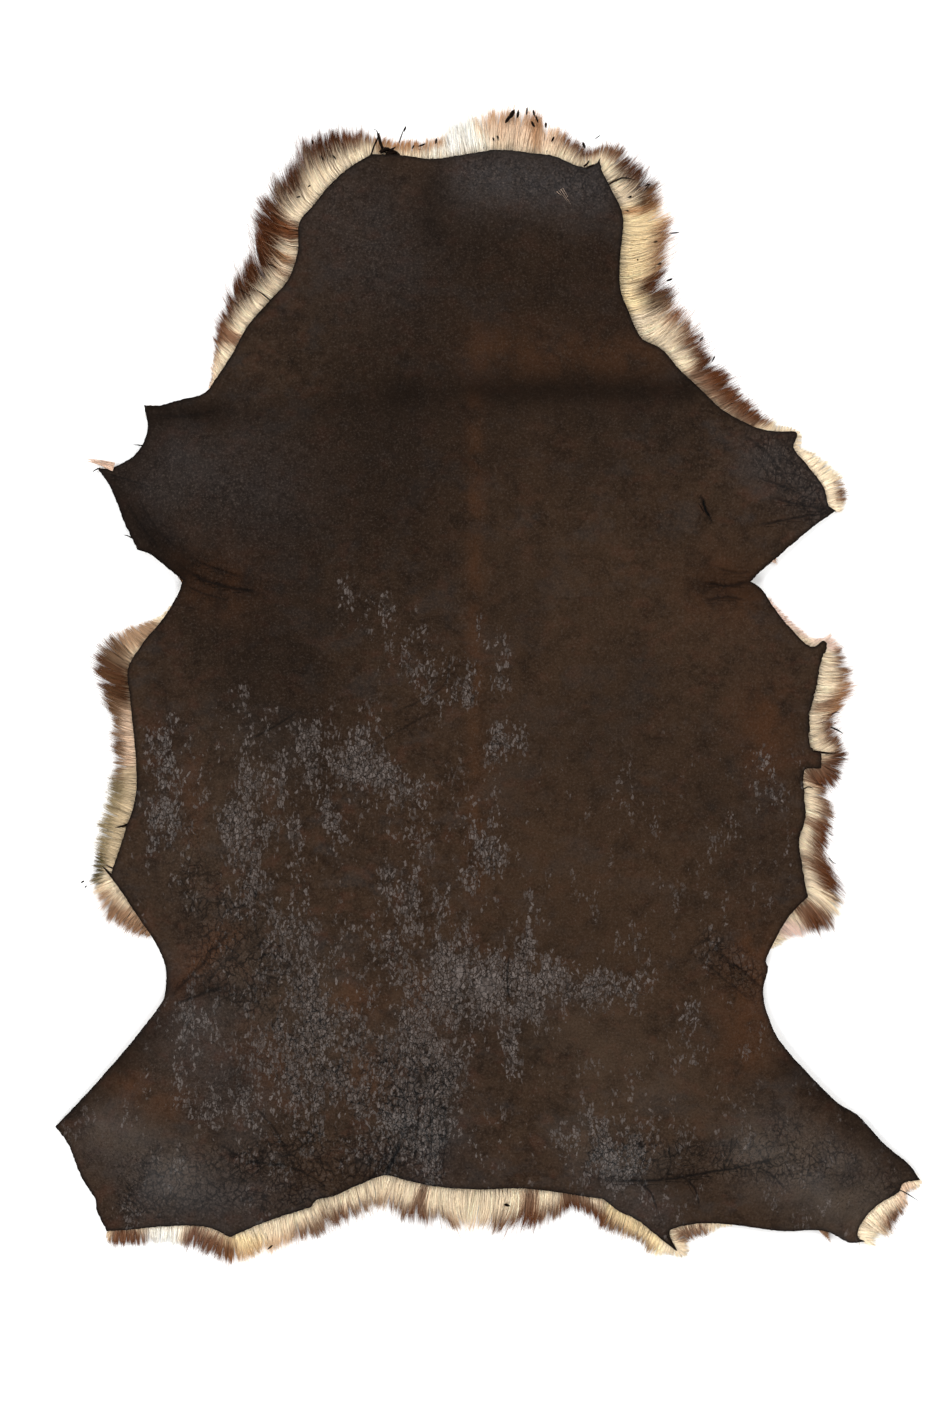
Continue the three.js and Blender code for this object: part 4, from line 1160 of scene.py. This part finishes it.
def fleece():
    """The pressed mass of hair under the skin, which reaches part of the way out to the hair's tips."""
    reach = edge["reach"]
    drawn_in = -FLEECE_INSET + (reach / BARE_REACH) * FLEECE_INSET
    past = np.where(reach > BARE_REACH, reach * FLEECE_REACH, drawn_in)
    outline = edge["plain_place"] + edge["hair_out"] * smoothed_round(past, 3)[:, None]
    outline = outline[::3]
    points, triangles = filled(outline, lattice_inside(outline, FLEECE_STEP, FLEECE_MARGIN))
    nearest, distance = nearest_edge(points)
    inside = is_inside(edge["plain_place"], points)
    under_skin = face_height(points) - LEATHER - FLEECE_GAP
    beyond = np.clip(distance / np.maximum(reach[nearest] * 0.45, 1), 0, 1)
    outer = (edge["height"][nearest] - LEATHER) * 0.5 * (1 - beyond) ** 0.8 + FLEECE_RIM
    top = np.where(inside, np.minimum(under_skin, outer + distance * 0.3), outer)
    x, y = points.T
    swirl = np.sin(x / FLEECE_CURL + y / 60) * np.sin(y / FLEECE_CURL - x / 90)
    hollow = np.where(inside & (distance > 12), 5 * np.clip(swirl * 2 - 0.5, 0, 1), 0.0)
    low = np.minimum(hollow, top * 0.5)
    count = len(outline)
    top[:count] = np.maximum(top[:count], FLEECE_RIM)
    low[:count] = 0.05
    places = np.vstack([np.column_stack([points, top]), np.column_stack([points, low])])
    ring = np.arange(count)
    rim = wall(ring, ring + len(points))
    triangles = np.vstack([triangles, rim, triangles[:, ::-1] + len(points)])
    colours = fleece_colours(places[:, :2])
    return new_piece("fleece", places, triangles, fleece_finish(), colours=colours)


def strands(centres, radii, colours):
    """Three-sided tapering strands on the given centre lines: their points, triangles and colours."""
    count, rings = centres.shape[0], centres.shape[1] - 1
    run = np.gradient(centres, axis=1)[:, :-1]
    run /= np.linalg.norm(run, axis=2)[..., None]
    side = np.cross(run, (0.0, 0.0, 1.0))
    side /= np.maximum(np.linalg.norm(side, axis=2), 1e-6)[..., None]
    top = np.cross(side, run)
    corners = [
        centres[:, :-1] + (side * math.cos(turn) + top * math.sin(turn)) * radii[..., None]
        for turn in (math.pi / 2, math.pi * 7 / 6, math.pi * 11 / 6)
    ]
    body = np.stack(corners, axis=2).reshape(count, rings * 3, 3)
    places = np.concatenate([body, centres[:, -1:]], axis=1)
    shades = np.concatenate([np.repeat(colours[:, :-1], 3, axis=1), colours[:, -1:]], axis=1)
    faces = [(0, 1, 2)]
    for ring in range(rings - 1):
        for corner in range(3):
            a, b = ring * 3 + corner, ring * 3 + (corner + 1) % 3
            faces += [(a, b + 3, b), (a, a + 3, b + 3)]
    last = (rings - 1) * 3
    faces += [(last + corner, rings * 3, last + (corner + 1) % 3) for corner in range(3)]
    per_strand = rings * 3 + 1
    triangles = np.array(faces)[None] + (np.arange(count) * per_strand)[:, None, None]
    return places.reshape(-1, 3), triangles.reshape(-1, 3), shades.reshape(-1, 3)


def ring_value(name, place):
    """An edge value between its samples: place counts samples from the ring's start."""
    values = edge[name]
    low = np.floor(place).astype(int)
    part = place - low
    first, second = values[low % len(values)], values[(low + 1) % len(values)]
    if values.ndim == 2:
        part = part[:, None]
    return first * (1 - part) + second * part


def stray_along(chance, place, spacing):
    """Stray values from -1 to 1 that change smoothly along the edge, about once each spacing."""
    count = int(len(edge["place"]) * EDGE_STEP / spacing) + 2
    knots = chance.uniform(-1, 1, count)
    at = place * EDGE_STEP / spacing
    low = np.floor(at).astype(int)
    part = eased(at - low)
    return knots[low % count] * (1 - part) + knots[(low + 1) % count] * part


def gathered(chance, place, spacing):
    """The uneven tuft, of about the given width, that each hair belongs to, and the tuft's own middle."""
    drift = 0.8 * stray_along(chance, place, spacing * 2.3)
    run = np.append(0, np.cumsum(edge["share"]))
    combed = np.interp(place, np.arange(len(run)), run) * EDGE_STEP
    number = np.round(combed / spacing + drift + chance.uniform(-0.12, 0.12, len(place))).astype(int)
    number -= number.min()
    middle = np.bincount(number, place) / np.maximum(np.bincount(number), 1)
    return number, middle[number]


def hair_lines(chance, place, inset, rise, share, gather, spread):
    """Centre lines of hairs that leave the edge at the given places, gathered into tufts at their tips."""
    lock, lock_middle = gathered(chance, place, LOCK_SPACING)
    tuft, tuft_middle = gathered(chance, place, TUFT_SPACING)
    lock_size, lock_tilt, lock_bend = (knots[lock] for knots in chance.uniform(-1, 1, (3, lock.max() + 1)))
    tuft_size, tuft_tilt, tuft_bend = (knots[tuft] for knots in chance.uniform(-1, 1, (3, tuft.max() + 1)))
    off_middle = np.clip(np.abs(place - tuft_middle) * EDGE_STEP * 2 / TUFT_SPACING, 0, 1)
    share = share * (1.03 + 0.08 * lock_size + 0.12 * tuft_size - 0.22 * gather * off_middle)
    t = HAIR_STEPS[None, :, None]

    def path(at, tilt, bend):
        out, run = ring_value("hair_out", at), ring_value("hair_run", at)
        reach = ring_value("reach", at) * share
        lean, curl = ring_value("lean", at) + tilt, ring_value("curl", at) + bend
        start = ring_value("plain_place", at) - out * inset[:, None]
        forward = out[:, None] * ((reach + inset)[:, None, None] * t)
        sway = lean[:, None, None] * t + curl[:, None, None] * t**2
        sideways = run[:, None] * (reach[:, None, None] * sway)
        return start[:, None] + forward + sideways, reach

    own, reach = path(place, 0.08 * lock_tilt + spread * chance.uniform(-1, 1, len(place)), 0.1 * lock_bend)
    tufted, _ = path(tuft_middle, 0.08 * lock_tilt + 0.1 * tuft_tilt, 0.1 * lock_bend + 0.16 * tuft_bend)
    locked, _ = path(lock_middle, 0.08 * lock_tilt, 0.1 * lock_bend)
    pull = gather[:, None, None] * t**1.3
    flat = own * (1 - pull) + tufted * pull
    flat = flat + 0.08 * t**2 * (locked - flat)
    height = rise[:, None] * (1 - t[..., 0]) ** 1.3 + 1.6 * np.sin(math.pi * t[..., 0])
    height = height + 0.6 + t[..., 0] * chance.uniform(0, 2.4, len(place))[:, None]
    return np.concatenate([flat, height[..., None]], axis=2), reach, tuft_bend


def rim_colours(chance, place, inset, stray, lines, reach, tuft):
    """The colours along the rim's hairs, with painted shade towards the skin's edge and painted light
    through thin ends.
    """
    count = len(place)
    along = ring_value("hair_run", place) * chance.normal(0, 1.6, count)[:, None]
    outward = ring_value("hair_out", place) * chance.normal(0, 2.6, count)[:, None]
    marked = lines[..., :2] + (along + outward)[:, None]
    beyond = (reach + inset)[:, None] * HAIR_STEPS - inset[:, None]
    progress = beyond / ring_value("reach", place)[:, None]
    ends = ring_value("tips", place) + chance.normal(0, 2, (count, 2))
    colours = hair_colours(chance, marked, ends, progress)
    # Light shines through thin ends, so that the darkest are never as dark as the hair below them.
    thin = np.where(stray[:, None], 0.6, 0.8 * eased((progress - 0.84) / 0.25))
    colours = np.maximum(colours, thin[..., None] * np.array(linear(THIN_END)))
    bright = chance.normal(1, 0.1, count) + 0.1 * tuft + 0.12 * stray
    bright = bright * np.where(chance.uniform(0, 1, count) < DARK_SHARE, 0.74, 1)
    # Painted shade on the hairs close to the skin's edge
    shaded = 0.8 + 0.2 * eased((beyond + 2) / 6)
    return np.clip(colours * (bright[:, None] * shaded)[..., None], 0, 1)


def rim_hair(name, places, seed):
    """The hair that shows past the edge along the named stretches."""
    chance = np.random.default_rng(seed)
    rows = [index for index, row in enumerate(EDGE) if row["place"] in places]
    samples = np.flatnonzero(np.isin(edge["row"], rows) & (edge["reach"] > LEAST_REACH))
    count = int(len(samples) * EDGE_STEP * HAIR_PER_MM)
    odds = edge["share"][samples]
    place = chance.choice(samples, count, p=odds / odds.sum()) + chance.uniform(0, 1, count)
    inset = chance.uniform(2, HAIR_INSET, count)
    room = ring_value("height", place) - LEATHER - 1.6
    rise = np.maximum(room, 1) * chance.uniform(0.15, 1, count) ** 0.6
    stray = chance.uniform(0, 1, count) < STRAY_SHARE
    stray_length = chance.uniform(0.85, 1.4, count)
    share = np.where(stray, stray_length, 1 - 0.34 * chance.uniform(0, 1, count) ** 2)
    gather = np.where(stray, 0.15, chance.uniform(0.25, 0.85, count))
    spread = np.where(stray, 0.3, 0.1)
    lines, reach, tuft = hair_lines(chance, place, inset, rise, share, gather, spread)
    taper = (1 - (1 - TIP_SHARE) * HAIR_STEPS[:-1]) ** 0.9
    radius = HAIR_RADIUS * chance.uniform(0.6, 1.15, count) * np.where(stray, 0.45, 1)
    colours = rim_colours(chance, place, inset, stray, lines, reach, tuft)
    points, triangles, shades = strands(lines, radius[:, None] * taper, colours)
    return new_piece(name, points, triangles, hair, colours=shades)


def joined(name, parts, finish):
    """One piece of several lots of strands."""
    places, triangles, shades, start = [], [], [], 0
    for part_places, part_triangles, part_shades in parts:
        places.append(part_places)
        triangles.append(part_triangles + start)
        shades.append(part_shades)
        start += len(part_places)
    places, triangles, shades = (np.vstack(stack) for stack in (places, triangles, shades))
    return new_piece(name, places, triangles, finish, colours=shades)


def slivers():
    """Torn slivers and threads of leather at the edge, lying on the hair."""
    parts = []
    for row in SLIVERS:
        path, share = curve_through(row["points"], 2.5)
        rim = edge["height"][nearest_edge(path[:1])[0][0]]
        drop = (rim - 1.2) * (1 - share) + min(rim * 0.55, 7) * share
        line = np.column_stack([path, drop])[None]
        taper = np.sin(math.pi * (0.28 + 0.7 * share[:-1])) ** 0.8
        parts.append(strands(line, (row["width"] / 2 * np.maximum(taper, 0.2))[None], line * 0))
    return joined("torn_slivers", parts, torn)


def caught_bits():
    """Small dark bits caught in the hair."""
    parts = []
    share = np.linspace(-1, 1, 5)
    for bit in BITS:
        turn = math.radians(bit["turn"])
        along = np.array([math.cos(turn), math.sin(turn)]) * bit["length"] * 0.6
        flat = np.array([bit["x"], bit["y"]]) + share[:, None] * along
        line = np.column_stack([flat, 9.5 + 0.6 * share])[None]
        radii = bit["width"] * 0.75 * np.sqrt(1.05 - share[:-1] ** 2)
        parts.append(strands(line, radii[None], line * 0))
    return joined("caught_bits", parts, torn)


def tufts():
    """Small tufts of hair at the legs, and a few hairs caught on the skin."""
    chance = np.random.default_rng(41)
    parts = []
    for row in TUFTS:
        count, on_skin = row["count"], row["lift"] > BACK_HEIGHT / 2
        root, tip = np.array(row["root"], float), np.array(row["tip"], float)
        run = tip - root
        across = np.array([-run[1], run[0]]) / np.linalg.norm(run)
        t = np.linspace(0, 1, 6)[None, :, None]
        off = chance.uniform(-0.5, 0.5, count) * row["width"]
        fan = off * chance.uniform(0.1, 0.5, count) + chance.normal(0, 0.8, count)
        length = chance.uniform(0.45, 1.05, count) * (1 - np.abs(off) / row["width"])
        length = length[:, None, None]
        sideways = off[:, None, None] + (fan - off)[:, None, None] * t**1.5
        flat = root + run * t * length + across * sideways
        lift = row["lift"] * (1 - t[..., 0]) ** 0.8 + 0.8 + chance.uniform(0, 1.2, count)[:, None]
        if on_skin:
            face = face_height(flat.reshape(-1, 2)).reshape(count, -1)
            lift = face + 0.5 + chance.uniform(0, 0.8, count)[:, None]
        line = np.concatenate([flat, lift[..., None]], axis=2)
        taper = np.linspace(1, TIP_SHARE, 5)[None, :]
        thick = 0.35 if on_skin else 0.8
        radii = HAIR_RADIUS * thick * chance.uniform(0.6, 1.1, count)[:, None] * taper
        shade = np.array(linear(SHADES[row["shade"]])) * chance.normal(1, 0.12, count)[:, None, None]
        parts.append(strands(line, radii, np.clip(np.broadcast_to(shade, line.shape), 0, 1)))
    return joined("leg_tufts", parts, hair)


def short_hair():
    """Short hair under the edge where none shows past it, so that the skin never stands on nothing."""
    chance = np.random.default_rng(51)
    samples = np.flatnonzero(edge["reach"] < SHORT_HAIR_REACH)
    count = int(len(samples) * EDGE_STEP * SHORT_HAIR_PER_MM)
    place = chance.choice(samples, count) + chance.uniform(0, 1, count)
    out, run = ring_value("hair_out", place), ring_value("hair_run", place)
    root = ring_value("plain_place", place) - out * chance.uniform(4, 12, count)[:, None]
    tip = ring_value("plain_place", place) - out * chance.uniform(-0.5, 4, count)[:, None]
    tip = tip + run * chance.normal(0, 4, count)[:, None]
    t = np.linspace(0, 1, 4)[None, :, None]
    flat = root[:, None] * (1 - t) + tip[:, None] * t
    rise = np.maximum(ring_value("height", place) - LEATHER - 1.5, 1)
    lift = rise[:, None] * chance.uniform(0.5, 1, count)[:, None] * (1 - t[..., 0]) ** 1.2 + 0.5
    line = np.concatenate([flat, lift[..., None]], axis=2)
    radii = SHORT_HAIR_RADIUS * chance.uniform(0.6, 1.1, count)[:, None] * np.linspace(1, 0.3, 3)[None, :]
    colours = fleece_colours(flat.reshape(-1, 2)).reshape(line.shape)
    colours = np.clip(colours * chance.normal(0.85, 0.1, count)[:, None, None], 0, 1)
    return joined("short_hair", [strands(line, radii, colours)], hair)


# The rim's hair, one piece for each run of stretches
RIM_HAIR = table("name places seed", [
    ["neck_hair_left", ["left side of the neck", "left shoulder"], 21],
    ["neck_hair_top", ["neck top", "neck tab"], 22],
    ["neck_hair_right", ["right side of the neck", "right foreleg, outer edge"], 23],
    ["flank_hair_right",
     ["right armpit", "right flank, front", "right flank, rear", "right flank, drawn in"], 24],
    ["flank_hair_left", ["left flank, drawn in", "left flank"], 25],
    ["tail_hair_right", ["right hind foot", "right hind leg, rear edge", "right of the tail"], 26],
    ["tail_hair", ["tail"], 27],
    ["tail_hair_left", ["left of the tail", "left hind leg, rear edge"], 28],
])

hair = hair_finish()
torn = torn_finish()
hide_skin = skin()
fleece()
for run in RIM_HAIR:
    rim_hair(**run)
short_hair()
tufts()
slivers()
caught_bits()

# The floor and the soft light of a plain studio
FLOOR_HALF = 14
FLOOR_LEVEL = -0.0004
LAMP_SIZE = 1.6
SURROUND = 0.44
FLOOR_SIDES = ((-1, -1), (1, -1), (1, 1), (-1, 1))
floor_corners = [(x * FLOOR_HALF, y * FLOOR_HALF, FLOOR_LEVEL) for x, y in FLOOR_SIDES]
floor_mesh = bpy.data.meshes.new("floor")
floor_mesh.from_pydata(floor_corners, [], [(0, 1, 2, 3)])
floor = bpy.data.objects.new("floor", floor_mesh)
floor_finish = Finish("pale floor")
floor_finish.set(Base_Color=(0.96, 0.96, 0.96, 1), Roughness=1.0, Specular_IOR_Level=0)
floor_mesh.materials.append(floor_finish.material)
bpy.context.scene.collection.objects.link(floor)


def soft_light(name, place, power):
    """A square softbox that faces the hide."""
    lamp = bpy.data.lights.new(name, "AREA")
    lamp.size = LAMP_SIZE
    lamp.energy = power
    holder = bpy.data.objects.new(name, lamp)
    holder.location = place
    holder.rotation_euler = (-Vector(place)).to_track_quat("-Z", "Y").to_euler()
    bpy.context.scene.collection.objects.link(holder)


soft_light("left softbox", (-2.6, 0.6, 2.3), 68)
soft_light("right softbox", (2.6, 0.4, 2.3), 60)
soft_light("head softbox", (0.2, 2.8, 2.2), 66)
soft_light("tail softbox", (-0.3, -2.8, 2.4), 72)

world = bpy.data.worlds.new("studio")
world.use_nodes = True
world.node_tree.nodes["Background"].inputs["Color"].default_value = (1, 1, 1, 1)
world.node_tree.nodes["Background"].inputs["Strength"].default_value = SURROUND
bpy.context.scene.world = world
bpy.context.scene.view_settings.view_transform = "Standard"
